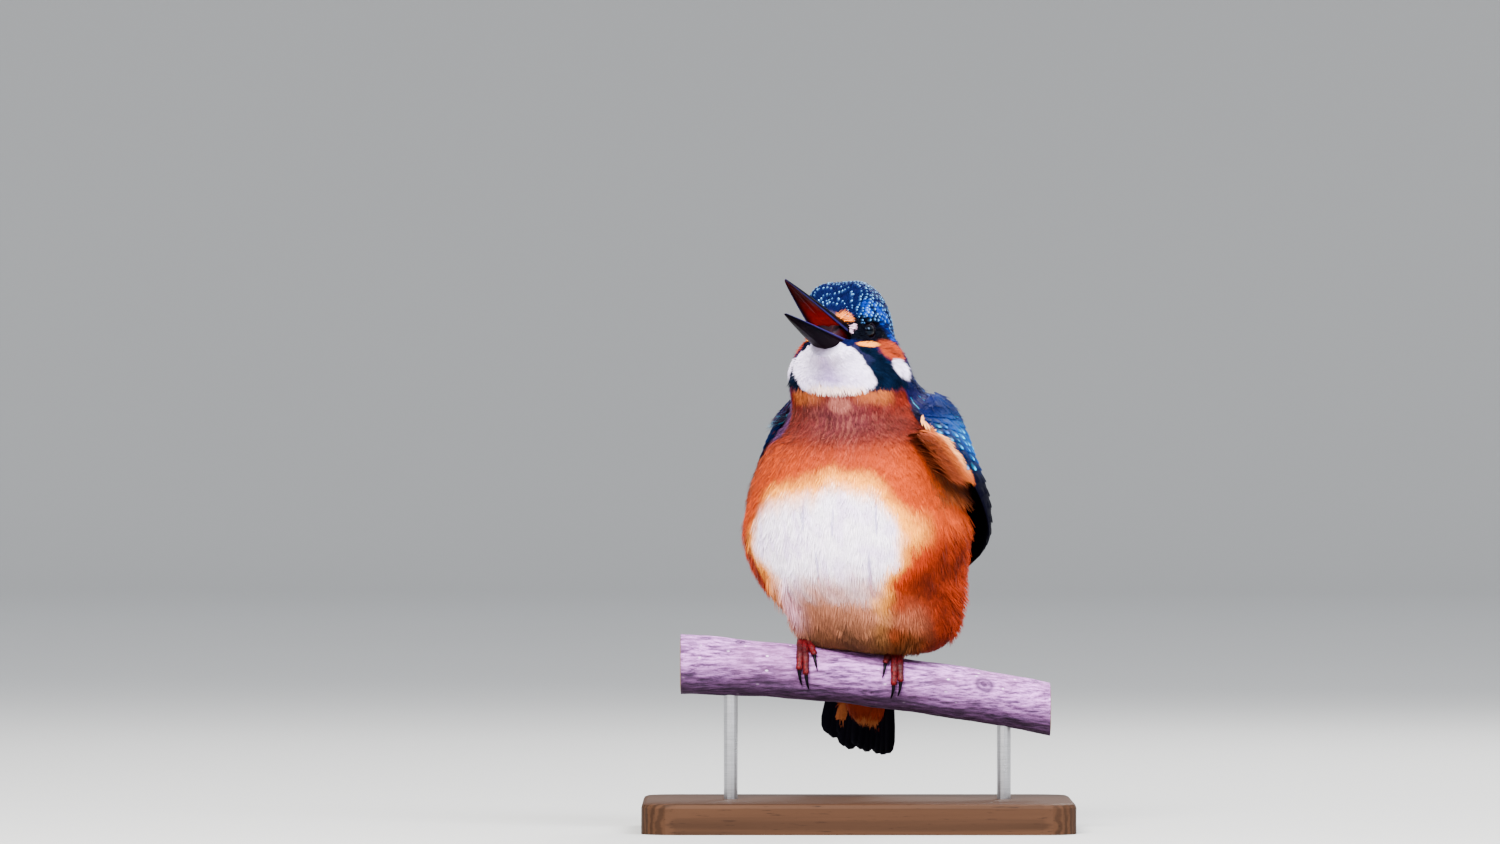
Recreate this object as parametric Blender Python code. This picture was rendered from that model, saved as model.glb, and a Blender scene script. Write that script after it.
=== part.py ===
"""A common kingfisher on a short cut branch, held on a display stand, at life size.

The bird's flesh and plumage outline is one smooth form: a set of ellipsoids, each joined to the rest with a
soft fillet. Rings of points are carried along a path from the bill to the tail, and each ring is pushed out
to that form, which gives the head, neck and trunk. Wings lie on the same form, a little above it.

Shapes are worked out in millimetres in the bird's own frame (forward, left, up) and turned into the world,
in metres, when each object is made. World: +Z up, the bird faces -Y, the origin is under the stand's middle.
"""

import bmesh
import bpy
import numpy as np
from mathutils import Matrix, Vector

MM = 0.001
GAP = 0.32                      # clearance between neighbouring solids
FINE = 1e-5                     # merge distance of welded caps, in metres

# The stand, the branch and the bird's place on it, in world millimetres.
BASE_SIZE = (112.0, 80.0, 8.0)
BASE_CORNER = 9.0
BASE_EDGE = 1.2
ROD_RADIUS = 1.8
ROD_AT = (-33.0, 38.0)          # along the branch
ROD_SUNK = 3.0                  # into the base
ROD_IN_BRANCH = 4.0
BRANCH_ENDS = (-46.0, 50.0)
BRANCH_HEIGHT = 39.3            # of the branch's axis under the bird
BRANCH_SLOPE = -0.12
BRANCH_SAG = -0.0008
BRANCH_RADIUS = 7.0
BRANCH_SWELL = 1.0              # thicker towards the left end
BIRD_AT = 1.0                   # the bird's middle, along the branch
BODY_TURN = np.radians(14.0)    # the breast turned from -Y towards -X

# The head's frame: its origin is midway between the eyes.
HEAD_AT = (11.0, -2.6, 129.4)
HEAD_TURN = np.radians(6.0)     # further than the body
HEAD_PITCH = np.radians(18.0)
HEAD_ROLL = np.radians(4.5)

# Forms of the trunk and neck: centre and radii (forward, left, up), and a lean back, in degrees.
TRUNK_FORMS = (
    ((2.0, -0.4, 78.0), (24.0, 30.1, 26.5), 6.0),       # belly
    ((1.0, 3.0, 58.0), (14.0, 15.0, 12.0), 0.0),        # vent
    ((4.0, 0.0, 91.0), (20.0, 25.0, 21.0), 0.0),        # breast
    ((-9.0, 0.0, 88.0), (12.5, 19.0, 26.0), 8.0),       # mantle
    ((-4.0, 15.0, 101.5), (10.0, 8.5, 11.0), 0.0),      # left shoulder
    ((-4.0, -13.0, 101.5), (9.0, 7.5, 10.0), 0.0),      # right shoulder
    ((-13.0, -1.0, 62.0), (14.0, 17.0, 21.0), 30.0),    # rump
    ((0.5, -1.0, 112.0), (15.0, 15.4, 14.0), 0.0),      # neck
    ((8.5, -2.0, 115.5), (11.0, 13.0, 10.5), 0.0),      # throat
    ((11.5, -2.6, 118.0), (10.0, 10.2, 8.0), 0.0),      # white bib
    ((-25.5, -5.0, 40.5), (4.2, 7.8, 19.0), 33.0),      # tail coverts
    ((0.0, 16.5, 58.0), (10.0, 10.3, 12.0), 0.0),       # left thigh
    ((0.0, -10.5, 57.0), (8.0, 7.0, 10.0), 0.0),        # right thigh
)
TRUNK_FILLET = 7.0
# Forms of the head, in the head's frame: centre and radii (forward, left, up), and the lean again.
HEAD_FORMS = (
    ((-8.5, 0.0, 1.6), (13.2, 10.5, 14.0), 0.0),        # cranium
    ((-1.5, 3.8, 6.6), (9.5, 5.6, 6.6), 0.0),           # left side of the crown
    ((-1.5, -3.8, 6.6), (9.5, 5.6, 6.6), 0.0),          # right side of the crown
    ((1.6, 0.0, 1.0), (9.8, 6.8, 6.2), 0.0),            # forehead and lores
    ((-8.0, 0.0, -7.0), (9.0, 13.9, 7.5), 0.0),         # ear coverts
    ((4.0, 0.0, -3.4), (12.5, 4.7, 4.7), 0.0),          # flesh in the root of the bill
    ((4.0, 0.0, -7.2), (12.5, 6.6, 4.2), 14.0),         # chin
)
HEAD_FILLET = 4.0
NECK_FILLET = 6.0

# The path that the rings are carried along: centre (forward, left, up) and the angle of the ring's ventral
# side from straight down towards the front, in degrees.
PATH = (
    (24.4, -3.9, 129.0, 28.0),      # root of the bill
    (13.4, -2.9, 127.8, 43.0),      # eyes
    (6.5, -2.3, 124.4, 63.0),       # crown
    (2.0, -1.8, 118.6, 80.0),       # nape
    (0.5, -1.2, 112.0, 89.0),       # neck
    (1.0, -0.6, 103.0, 90.0),       # shoulders
    (1.5, 0.0, 90.0, 88.0),         # breast
    (0.5, 0.0, 75.0, 80.0),         # belly
    (-6.0, 0.0, 62.0, 64.0),        # thighs
    (-14.0, -1.0, 53.5, 48.0),      # rump
    (-22.0, -3.4, 45.5, 38.0),      # tail coverts
    (-33.6, -7.2, 28.2, 34.0),      # ends of the coverts
)
HEAD_RINGS = (0.0, 3.0)             # path parameters
NECK_RINGS = (3.0, 4.15)
TRUNK_RINGS = (4.15, 11.0)
PARTING = 0.032
RING_SEGMENTS = 36
FARTHEST = 48.0                     # no surface is further from the path

# The bill, in the head's frame.
GAPE = (2.6, 5.3, -3.7)
BILL_TIP = (45.2, -1.5)
UPPER_DEPTH = 4.8
LOWER_DEPTH = 3.5
BILL_PARTING = 0.1                  # of each cutting edge from the line between them
JAW_HINGE = (-3.0, -4.0)
MOUTH_SPAN = (3.2, 16.0)            # from the corner of the mouth to beyond the chin
MOUTH_WIDTH = 28.0
GAPE_ANGLE = np.radians(10.0)
EYE_AT = (0.0, 6.15, -0.4)
EYE_RADIUS = 2.8

# Wings, as leaf-shaped patches of the trunk: path parameter and the angles of both edges from the ventral
# midline, in degrees, at even steps from the shoulder to the tip. The left one hangs off the flank, and the
# right one is tucked behind the breast.
WING_ROWS = {
    "left": (
        (4.05, 86.0, 108.0),
        (4.8, 64.0, 142.0),
        (5.6, 66.0, 158.0),
        (6.6, 84.0, 163.0),
        (7.6, 106.0, 165.0),
        (8.7, 124.0, 165.0),
        (9.7, 140.0, 163.0),
        (10.4, 152.0, 158.0),
    ),
    "right": (
        (4.22, 96.0, 112.0),
        (4.8, 76.0, 142.0),
        (5.6, 88.0, 158.0),
        (6.6, 104.0, 163.0),
        (7.6, 114.0, 165.0),
        (8.7, 126.0, 165.0),
        (9.7, 140.0, 163.0),
        (10.4, 152.0, 158.0),
    ),
}
WING_LIFT = {"left": 5.4, "right": 0.3}     # of the leading edge off the body
WING_LOOSE = (0.04, 0.64)                   # shares of its length between which it stands off
WING_THICK = 2.0
WING_EDGE = 0.6

# The tail: its root, the way it points and its sizes.
TAIL_ROOT = (-17.0, -1.6, 54.0)
TAIL_DOWN = np.radians(57.0)
TAIL_SWING = np.radians(12.0)       # to the bird's right
TAIL_TWIST = np.radians(-15.0)      # its left edge down
TAIL_LENGTH = 41.0
TAIL_WIDTHS = (8.0, 22.0)
TAIL_THICK = (1.5, 0.8)
TAIL_ARCH = 1.6

# Feet: where each stands along the branch, and the toes as sideways start and end, and the angles round the
# branch from its top, with the front positive, in degrees.
FOOT_AT = {"left": 10.0, "right": -14.2}
INNER_SIDE = {"left": -1.0, "right": 1.0}
LEG_TOP = {"left": (-1.0, 10.5, 56.0), "right": (-1.0, -12.5, 57.5)}
LEG_RADIUS = 1.1
TOE_RADII = (1.15, 0.85)
TOES = {
    "inner": (0.3, 2.9, 2.0, 50.0),
    "middle": (0.2, 0.75, 0.0, 92.0),
    "outer": (-0.4, -1.1, 0.0, 84.0),
    "hind": (0.0, 0.5, 0.0, -62.0),
}
FOOT_ROOM = 3.5                     # the belly's height over the bark
KNUCKLE_RADIUS = 1.45
CLAW_SWEEP = 26.0
CLAW_ARCH = 0.3
CLAW_RADII = (0.72, 0.18)

COLOURS = {                         # base colour, roughness, metallic
    "plumage_blue": ((0.02, 0.10, 0.28), 0.45, 0.0),
    "plumage_orange": ((0.62, 0.20, 0.05), 0.6, 0.0),
    "bill": ((0.02, 0.015, 0.03), 0.35, 0.0),
    "eye": ((0.01, 0.01, 0.012), 0.05, 0.0),
    "foot": ((0.55, 0.05, 0.04), 0.5, 0.0),
    "claw": ((0.01, 0.01, 0.012), 0.3, 0.0),
    "bark": ((0.38, 0.29, 0.36), 0.8, 0.0),
    "base_wood": ((0.10, 0.055, 0.03), 0.4, 0.0),
    "steel": ((0.6, 0.6, 0.62), 0.3, 1.0),
}


# ---------------------------------------------------------------- frames

def head_axes():
    """The head's forward, left and up directions as rows, in the bird's frame."""
    turn, pitch = -HEAD_TURN, HEAD_PITCH
    forward = np.array([np.cos(turn) * np.cos(pitch), np.sin(turn) * np.cos(pitch), np.sin(pitch)])
    level = np.array([-np.sin(turn), np.cos(turn), 0.0])
    up = np.cross(forward, level)
    left = level * np.cos(HEAD_ROLL) + up * np.sin(HEAD_ROLL)
    return np.array([forward, left, np.cross(forward, left)])


HEAD_AXES = head_axes()


def from_head(points):
    """Head frame to the bird's frame."""
    return np.asarray(points, float) @ HEAD_AXES + HEAD_AT


def to_world(points):
    """The bird's frame, in millimetres, to the world, in metres."""
    forward, left, up = np.moveaxis(np.asarray(points, float), -1, 0)
    sine, cosine = np.sin(BODY_TURN), np.cos(BODY_TURN)
    x = left * cosine - forward * sine + BIRD_AT
    y = -forward * cosine - left * sine
    return np.stack([x, y, up], -1) * MM


# ---------------------------------------------------------------- the bird's form

def ellipsoid(points, centre, radii, lean=0.0):
    """Roughly the distance in millimetres to an ellipsoid that leans back by some degrees."""
    offset = points - np.array(centre)
    if lean:
        sine, cosine = np.sin(np.radians(lean)), np.cos(np.radians(lean))
        forward, up = offset[..., 0], offset[..., 2]
        offset = np.stack([forward * cosine - up * sine, offset[..., 1], forward * sine + up * cosine], -1)
    radii = np.array(radii)
    ratio = np.linalg.norm(offset / radii, axis=-1)
    slope = np.linalg.norm(offset / radii**2, axis=-1) + 1e-9
    return ratio * (ratio - 1.0) / slope


def joined(first, second, fillet):
    """Two distances joined with a fillet."""
    share = np.clip(0.5 + 0.5 * (second - first) / fillet, 0.0, 1.0)
    return second + (first - second) * share - fillet * share * (1.0 - share)


def body_distance(points):
    """Distance to the outside of the plumage: below 0 inside it."""
    in_head = (points - np.array(HEAD_AT)) @ HEAD_AXES.T
    head = ellipsoid(in_head, *HEAD_FORMS[0])
    for form in HEAD_FORMS[1:]:
        head = joined(head, ellipsoid(in_head, *form), HEAD_FILLET)
    trunk = ellipsoid(points, *TRUNK_FORMS[0])
    for form in TRUNK_FORMS[1:]:
        trunk = joined(trunk, ellipsoid(points, *form), TRUNK_FILLET)
    return joined(head, trunk, NECK_FILLET)


def smooth_curve(rows, at):
    """The smooth curve through the rows, at parameters that count rows (Catmull-Rom)."""
    rows = np.asarray(rows, float)
    last = len(rows) - 1
    index = np.clip(np.floor(at).astype(int), 0, last - 1)
    step = (at - index)[..., None]
    before, here, after, beyond = (rows[np.clip(index + k, 0, last)] for k in (-1, 0, 1, 2))
    return 0.5 * (
        2 * here
        + (after - before) * step
        + (2 * before - 5 * here + 4 * after - beyond) * step**2
        + (3 * here - before - 3 * after + beyond) * step**3
    )


def surface_points(along, angle, level):
    """Points on the form raised by level.

    They are placed by path parameter and by angle from the ventral midline to the left. Each is where a ray
    leaves the form: the ray starts on the path and lies in the ring's plane.
    """
    along, angle, level = np.broadcast_arrays(along, angle, level)
    row = smooth_curve(PATH, along)
    centre, tilt = row[..., :3], np.radians(row[..., 3])
    ventral = np.stack([np.sin(tilt), np.zeros_like(tilt), -np.cos(tilt)], -1)
    ray = ventral * np.cos(angle)[..., None] + np.array([0.0, 1.0, 0.0]) * np.sin(angle)[..., None]
    inside = np.zeros(along.shape)
    leaving = np.zeros(along.shape, bool)
    step = 0.75
    for reach in np.arange(step, FARTHEST, step):
        outside = body_distance(centre + ray * reach) > level
        leaving |= outside
        inside = np.where(leaving, inside, reach)
    near, far = inside, inside + step
    for _ in range(18):
        middle = (near + far) / 2
        outside = body_distance(centre + ray * middle[..., None]) > level
        near, far = np.where(outside, near, middle), np.where(outside, middle, far)
    return centre + ray * near[..., None]


# ---------------------------------------------------------------- meshes

def material(name):
    """The Principled material of one finish."""
    found = bpy.data.materials.get(name)
    if found:
        return found
    colour, roughness, metallic = COLOURS[name]
    made = bpy.data.materials.new(name)
    made.use_nodes = True
    shader = made.node_tree.nodes["Principled BSDF"]
    shader.inputs["Base Color"].default_value = (*colour, 1.0)
    shader.inputs["Roughness"].default_value = roughness
    shader.inputs["Metallic"].default_value = metallic
    return made


def add_mesh(name, points, faces, finish, home):
    """A mesh object from world points, closed faces turned outwards and shaded smooth."""
    mesh = bpy.data.meshes.new(name)
    mesh.from_pydata([tuple(p) for p in points], [], faces)
    work = bmesh.new()
    work.from_mesh(mesh)
    bmesh.ops.recalc_face_normals(work, faces=work.faces)
    work.to_mesh(mesh)
    work.free()
    mesh.shade_smooth()
    mesh.set_sharp_from_angle(angle=np.radians(40))
    made = bpy.data.objects.new(name, mesh)
    if finish:
        mesh.materials.append(material(finish))
    home.objects.link(made)
    return made


def loft_faces(rings, segments):
    """Quads between closed rings, with a flat face over each end."""
    faces = []
    for ring in range(rings - 1):
        for k in range(segments):
            after = (k + 1) % segments
            faces.append((
                ring * segments + k,
                ring * segments + after,
                (ring + 1) * segments + after,
                (ring + 1) * segments + k,
            ))
    faces.append(tuple(range(segments)))
    faces.append(tuple((rings - 1) * segments + k for k in range(segments)))
    return faces


def add_loft(name, rings, finish, home):
    """A closed solid through rings of world points, shaped (rings, segments, 3)."""
    count, segments = rings.shape[:2]
    return add_mesh(name, rings.reshape(-1, 3), loft_faces(count, segments), finish, home)


def add_tube(name, points, radii, finish, home, sides=2):
    """A tapering tube through world points in millimetres, as a mesh with its caps welded on."""
    curve = bpy.data.curves.new(name, "CURVE")
    curve.dimensions = "3D"
    curve.bevel_depth = MM
    curve.bevel_resolution = sides
    curve.use_fill_caps = True
    spline = curve.splines.new("POLY")
    spline.points.add(len(points) - 1)
    for spot, place, radius in zip(spline.points, points, radii):
        spot.co = (*(np.asarray(place) * MM), 1.0)
        spot.radius = radius
    line = bpy.data.objects.new(name + "_line", curve)
    home.objects.link(line)
    bpy.context.view_layer.update()
    graph = bpy.context.evaluated_depsgraph_get()
    mesh = bpy.data.meshes.new_from_object(line.evaluated_get(graph))
    place = line.matrix_world.copy()
    bpy.data.objects.remove(line)
    work = bmesh.new()
    work.from_mesh(mesh)
    bmesh.ops.remove_doubles(work, verts=work.verts, dist=FINE)
    bmesh.ops.recalc_face_normals(work, faces=work.faces)
    work.to_mesh(mesh)
    work.free()
    mesh.shade_smooth()
    mesh.set_sharp_from_angle(angle=np.radians(40))
    made = bpy.data.objects.new(name, mesh)
    made.matrix_world = place
    if finish:
        mesh.materials.clear()
        mesh.materials.append(material(finish))
    home.objects.link(made)
    return made


def cut(target, cutter, how="DIFFERENCE"):
    """One Boolean on target. The cutter is hidden from the render."""
    cutter.hide_render = True
    cutter.display_type = "WIRE"
    step = target.modifiers.new(cutter.name, "BOOLEAN")
    step.operation = how
    step.solver = "EXACT"
    step.object = cutter


# ---------------------------------------------------------------- head, neck and trunk

def body_rings(first, last, rings, segments=RING_SEGMENTS):
    """Rings of world points on the plumage between two path parameters, closer together at the chin."""
    spread = 1.0 if first > 1.0 else 1.45
    along = (first + (last - first) * np.linspace(0.0, 1.0, rings) ** spread)[:, None]
    angle = np.linspace(0.0, 2 * np.pi, segments, endpoint=False)[None, :]
    return to_world(surface_points(along, angle, 0.0))


def add_flesh(parts):
    """The head, neck and trunk, which are one form parted by thin flat gaps."""
    half_gap = PARTING / 2
    made = {}
    for name, span, rings, finish in (
        ("head", HEAD_RINGS, 20, "plumage_blue"),
        ("neck", NECK_RINGS, 4, "plumage_blue"),
        ("trunk", TRUNK_RINGS, 22, "plumage_orange"),
    ):
        made[name] = add_loft(name, body_rings(span[0] + half_gap, span[1] - half_gap, rings), finish, parts)
    return made


# ---------------------------------------------------------------- bill and eyes

def bill_taper(share):
    """Half width of the bill, from 0 at the gape to 1 at the tip."""
    return 0.25 + (GAPE[1] - 0.25) * (1.0 - share) ** 0.85


def bill_rings(depth, grow, hollow, jaw, rings=8, segments=14):
    """Rings of one half of the bill in the head's frame.

    Across each ring the outer side is an arch over the cutting edges, and the inner side is a shallow hollow
    of the share hollow of the depth. depth is negative for the lower half, which then turns on the jaw hinge.
    """
    share = np.linspace(0.0, 1.0, rings)[:, None]
    forward = GAPE[0] - grow + (BILL_TIP[0] - GAPE[0] + 2 * grow) * share
    edge = GAPE[2] + (BILL_TIP[1] - GAPE[2]) * share
    half = bill_taper(share) + grow
    tall = np.abs(depth) * (0.12 + 0.88 * (1.0 - share) ** 0.9)
    side = np.sign(depth)
    brim = BILL_PARTING - grow
    outer = np.linspace(0.0, np.pi, segments // 2 + 1)[None, :]
    inner = np.linspace(1.0, -1.0, segments // 2 + 1)[None, 1:-1]
    outer_left = half * np.sign(np.cos(outer)) * np.abs(np.cos(outer)) ** 1.15
    outer_up = edge + side * ((tall + 2 * grow) * np.sin(outer) ** 0.85 + brim)
    inner_left = -half * inner
    inner_up = edge + side * (hollow * tall * (1.0 - inner**2) + brim)
    left = np.concatenate([outer_left, inner_left], 1)
    up = np.concatenate([outer_up, inner_up], 1)
    points = np.stack([np.broadcast_to(forward, left.shape), left, up], -1)
    if jaw:
        hinge_forward, hinge_up = points[..., 0] - JAW_HINGE[0], points[..., 2] - JAW_HINGE[1]
        sine, cosine = np.sin(GAPE_ANGLE), np.cos(GAPE_ANGLE)
        points[..., 0] = JAW_HINGE[0] + hinge_forward * cosine + hinge_up * sine
        points[..., 2] = JAW_HINGE[1] - hinge_forward * sine + hinge_up * cosine
    return points


def add_bill(head, parts, cutters):
    """Both halves of the open bill, and the mouth and seats that they need in the head."""
    for name, depth, jaw in (("bill_upper", UPPER_DEPTH, False), ("bill_lower", -LOWER_DEPTH, True)):
        add_loft(name, to_world(from_head(bill_rings(depth, 0.0, 0.3, jaw))), "bill", parts)
        seat = bill_rings(depth, GAP + 0.05, -0.08, jaw)
        cut(head, add_loft(name + "_seat", to_world(from_head(seat)), None, cutters))
    slope = (BILL_TIP[1] - GAPE[2]) / (BILL_TIP[0] - GAPE[0])
    ends = []
    for forward in MOUTH_SPAN:
        top = GAPE[2] + slope * (forward - GAPE[0]) + 2 * BILL_PARTING
        foot = top - np.tan(GAPE_ANGLE) * (forward - JAW_HINGE[0]) - 6 * BILL_PARTING
        half = MOUTH_WIDTH / 2
        corners = ((-half, top), (half, top), (half, foot), (-half, foot))
        ends.append([(forward, left, up) for left, up in corners])
    cut(head, add_loft("mouth", to_world(from_head(ends)), None, cutters))


def add_eyes(head, parts, cutters):
    """Both eyeballs, each in a socket."""
    for name, side in (("left", 1.0), ("right", -1.0)):
        place = to_world(from_head(np.array(EYE_AT) * (1.0, side, 1.0)))
        for label, radius, home, finish in (
            ("eye_" + name, EYE_RADIUS, parts, "eye"),
            ("socket_" + name, EYE_RADIUS + GAP, cutters, None),
        ):
            mesh = bpy.data.meshes.new(label)
            work = bmesh.new()
            bmesh.ops.create_uvsphere(work, u_segments=12, v_segments=8, radius=radius * MM)
            work.to_mesh(mesh)
            work.free()
            mesh.shade_smooth()
            if finish:
                mesh.materials.append(material(finish))
            ball = bpy.data.objects.new(label, mesh)
            ball.location = Vector(place)
            home.objects.link(ball)
            if not finish:
                cut(head, ball)


# ---------------------------------------------------------------- wings and tail

def add_wing(name, side, parts):
    """A folded wing: a leaf-shaped sheet over the trunk, thickest in the middle, loose at the leading edge."""
    length = np.linspace(0.0, 1.0, 18)
    row = smooth_curve(WING_ROWS[name], length * (len(WING_ROWS[name]) - 1))
    across = np.linspace(0.0, 1.0, 9)[None, :]
    along = row[:, :1]
    angle = side * np.radians(row[:, 1:2] + (row[:, 2:3] - row[:, 1:2]) * across)
    share = (length[:, None] - WING_LOOSE[0]) / (WING_LOOSE[1] - WING_LOOSE[0])
    loose = np.sin(np.pi * np.clip(share, 0.0, 1.0)) ** 1.6
    hang = WING_LIFT[name] * (1.0 - across) ** 1.5 * loose
    under = GAP + 0.22 + hang
    thick = WING_EDGE + (WING_THICK - WING_EDGE) * (1.0 - (2 * across - 1.0) ** 4)
    thick = thick * (1.0 - 0.5 * length[:, None])
    inner = surface_points(along, angle, under)
    outer = surface_points(along, angle, under + thick)
    rings = np.concatenate([inner, outer[:, ::-1]], 1)
    return add_loft("wing_" + name, to_world(rings), "plumage_blue", parts)


def from_tail(across, down, off):
    """Places across the tail, down it and off its back, to the bird's frame."""
    down_axis = np.array([-np.cos(TAIL_DOWN), 0.0, -np.sin(TAIL_DOWN)])
    back_axis = np.array([-np.sin(TAIL_DOWN), 0.0, np.cos(TAIL_DOWN)])
    left_axis = np.array([0.0, 1.0, 0.0])
    swung_down = down_axis * np.cos(TAIL_SWING) - left_axis * np.sin(TAIL_SWING)
    swung_left = left_axis * np.cos(TAIL_SWING) + down_axis * np.sin(TAIL_SWING)
    edge_axis = swung_left * np.cos(TAIL_TWIST) + back_axis * np.sin(TAIL_TWIST)
    off_axis = back_axis * np.cos(TAIL_TWIST) - swung_left * np.sin(TAIL_TWIST)
    across, down, off = (np.asarray(part)[..., None] for part in np.broadcast_arrays(across, down, off))
    return np.array(TAIL_ROOT) + across * edge_axis + down * swung_down + off * off_axis


def tail_rings(grow, rows=7, columns=11):
    """The tail's fan in the bird's frame, as rings across it from the root to the rounded end."""
    share = np.linspace(0.0, 1.0, rows)[:, None]
    across = np.linspace(-1.0, 1.0, columns)[None, :]
    half = (TAIL_WIDTHS[0] + (TAIL_WIDTHS[1] - TAIL_WIDTHS[0]) * share**0.8) / 2 + grow
    end = TAIL_LENGTH + grow - 2.0 * across**2 - 2.5 * across**6
    down = -grow + (end + grow) * share
    thick = (TAIL_THICK[0] + (TAIL_THICK[1] - TAIL_THICK[0]) * share) / 2 + grow
    arch = -TAIL_ARCH * across**2 * share
    sheets = [from_tail(half * across, down, arch + side * thick) for side in (1.0, -1.0)]
    return np.concatenate([sheets[0], sheets[1][:, ::-1]], 1)


def add_tail(trunk, parts, cutters):
    """The tail feathers as one fanned plate, let into the trunk between the coverts."""
    add_loft("tail", to_world(tail_rings(0.0)), "plumage_blue", parts)
    cut(trunk, add_loft("tail_slot", to_world(tail_rings(GAP)), None, cutters))


# ---------------------------------------------------------------- branch, legs and feet

def branch_centre(x):
    """Height of the branch's axis, in world millimetres."""
    return BRANCH_HEIGHT + BRANCH_SLOPE * x + BRANCH_SAG * x * x


def branch_radius(x):
    """Radius of the branch, which swells towards its left end."""
    return BRANCH_RADIUS + BRANCH_SWELL * max(0.0, x / BRANCH_ENDS[0]) ** 2


def round_branch(x, degrees, clear):
    """A world point beside the branch: degrees from its top towards the front, clear of its bark."""
    turn = np.radians(degrees)
    reach = branch_radius(x) + clear
    return np.array([x, -np.sin(turn) * reach, branch_centre(x) + np.cos(turn) * reach])


def add_branch(parts, cutters, grow=0.0):
    """The cut length of branch. Grown and in the cutters' collection, it clears the belly."""
    stations = np.linspace(*BRANCH_ENDS, 17)
    points = [(x, 0.0, branch_centre(x)) for x in stations]
    radii = [branch_radius(x) + grow for x in stations]
    name, home, finish = ("branch_room", cutters, None) if grow else ("perch", parts, "bark")
    return add_tube(name, points, radii, finish, home, sides=8)


def add_claw(name, x, last, parts):
    """A claw that curls on round the branch from the angle where its toe ends, a little arched."""
    share = np.linspace(0.0, 1.0, 6)
    gap_turn = np.degrees(GAP / (BRANCH_RADIUS + TOE_RADII[1]))
    turn = last + np.sign(last) * (gap_turn + CLAW_SWEEP * share)
    radii = CLAW_RADII[0] + (CLAW_RADII[1] - CLAW_RADII[0]) * share
    clear = GAP + radii + CLAW_ARCH * np.sin(np.pi * share)
    add_tube(name, [round_branch(x, d, c) for d, c in zip(turn, clear)], radii, "claw", parts, sides=1)


def add_toe(name, x, inward, toe, home):
    """A toe round the branch, and the place along the branch where it ends."""
    start, end, first, last = TOES[toe]
    share = np.linspace(0.0, 1.0, 8)
    places = x + inward * (start + (end - start) * share**0.8)
    turn = first + (last - first) * share
    radii = TOE_RADII[0] + (TOE_RADII[1] - TOE_RADII[0]) * share
    points = [round_branch(p, d, GAP + r) for p, d, r in zip(places, turn, radii)]
    return add_tube(name, points, radii, "foot", home), places[-1]


def add_foot(side, parts, cutters):
    """One foot of four toes and a knuckle in one piece, with its claws; returns the knuckle's top."""
    x, inward = FOOT_AT[side], INNER_SIDE[side]
    foot = None
    for toe in TOES:
        if foot is None:
            foot, end = add_toe("foot_" + side, x, inward, toe, parts)
        else:
            piece, end = add_toe(f"toe_{side}_{toe}", x, inward, toe, cutters)
            cut(foot, piece, "UNION")
        add_claw(f"claw_{side}_{toe}", end, TOES[toe][3], parts)
    centre = round_branch(x, 0.0, GAP + TOE_RADII[0] + 0.15)
    along = np.array([0.0, KNUCKLE_RADIUS, -0.35])
    line = [centre + along * (1, -1, 1), centre, centre + along]
    radii = [TOE_RADII[0], KNUCKLE_RADIUS, TOE_RADII[0]]
    cut(foot, add_tube("knuckle_" + side, line, radii, None, cutters), "UNION")
    return centre + (0.0, 0.0, KNUCKLE_RADIUS)


def add_leg(side, knuckle, trunk, parts, cutters):
    """The leg from the knuckle up into the belly, and the room that it needs there."""
    hip = to_world(np.array(LEG_TOP[side])) / MM
    ankle = knuckle + (0.0, 0.0, GAP)
    thigh = hip - ankle
    line = [ankle, ankle + thigh * 0.35, ankle + thigh * 0.7, hip]
    add_tube("leg_" + side, line, [LEG_RADIUS * share for share in (0.95, 0.9, 1.0, 1.1)], "foot", parts)
    room = [ankle - thigh * 0.2, *line[1:3], hip + thigh * 0.06]
    cut(trunk, add_tube("leg_room_" + side, room, [LEG_RADIUS + GAP * 1.5] * 4, None, cutters))


# ---------------------------------------------------------------- the stand

def add_stand(perch, parts, cutters):
    """A flat base with eased edges, and two rods let into the base and the branch."""
    mesh = bpy.data.meshes.new("stand_base")
    work = bmesh.new()
    raised = Matrix.Translation((0.0, 0.0, BASE_SIZE[2] / 2 * MM))
    bmesh.ops.create_cube(work, size=1.0, matrix=raised @ Matrix.Diagonal((*(np.array(BASE_SIZE) * MM), 1.0)))
    upright = [e for e in work.edges if abs(e.verts[0].co.z - e.verts[1].co.z) > MM]
    bmesh.ops.bevel(work, geom=upright, offset=BASE_CORNER * MM, segments=5, profile=0.5, affect="EDGES")
    rim = [e for e in work.edges if min(v.co.z for v in e.verts) > (BASE_SIZE[2] - 0.01) * MM]
    bmesh.ops.bevel(work, geom=rim, offset=BASE_EDGE * MM, segments=2, profile=0.5, affect="EDGES")
    work.to_mesh(mesh)
    work.free()
    mesh.materials.append(material("base_wood"))
    base = bpy.data.objects.new("stand_base", mesh)
    parts.objects.link(base)
    for name, x in zip(("left", "right"), ROD_AT):
        low = BASE_SIZE[2] - ROD_SUNK
        high = branch_centre(x) - branch_radius(x) + ROD_IN_BRANCH
        ends = [(x, 0, low), (x, 0, high)]
        add_tube("stand_rod_" + name, ends, [ROD_RADIUS] * 2, "steel", parts, sides=4)
        deeper = [(x, 0, low - GAP), (x, 0, high + GAP)]
        hole = add_tube("rod_room_" + name, deeper, [ROD_RADIUS + GAP] * 2, None, cutters, sides=4)
        cut(base, hole)
        cut(perch, hole)


def new_collection(name):
    made = bpy.data.collections.new(name)
    bpy.context.scene.collection.children.link(made)
    return made


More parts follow.
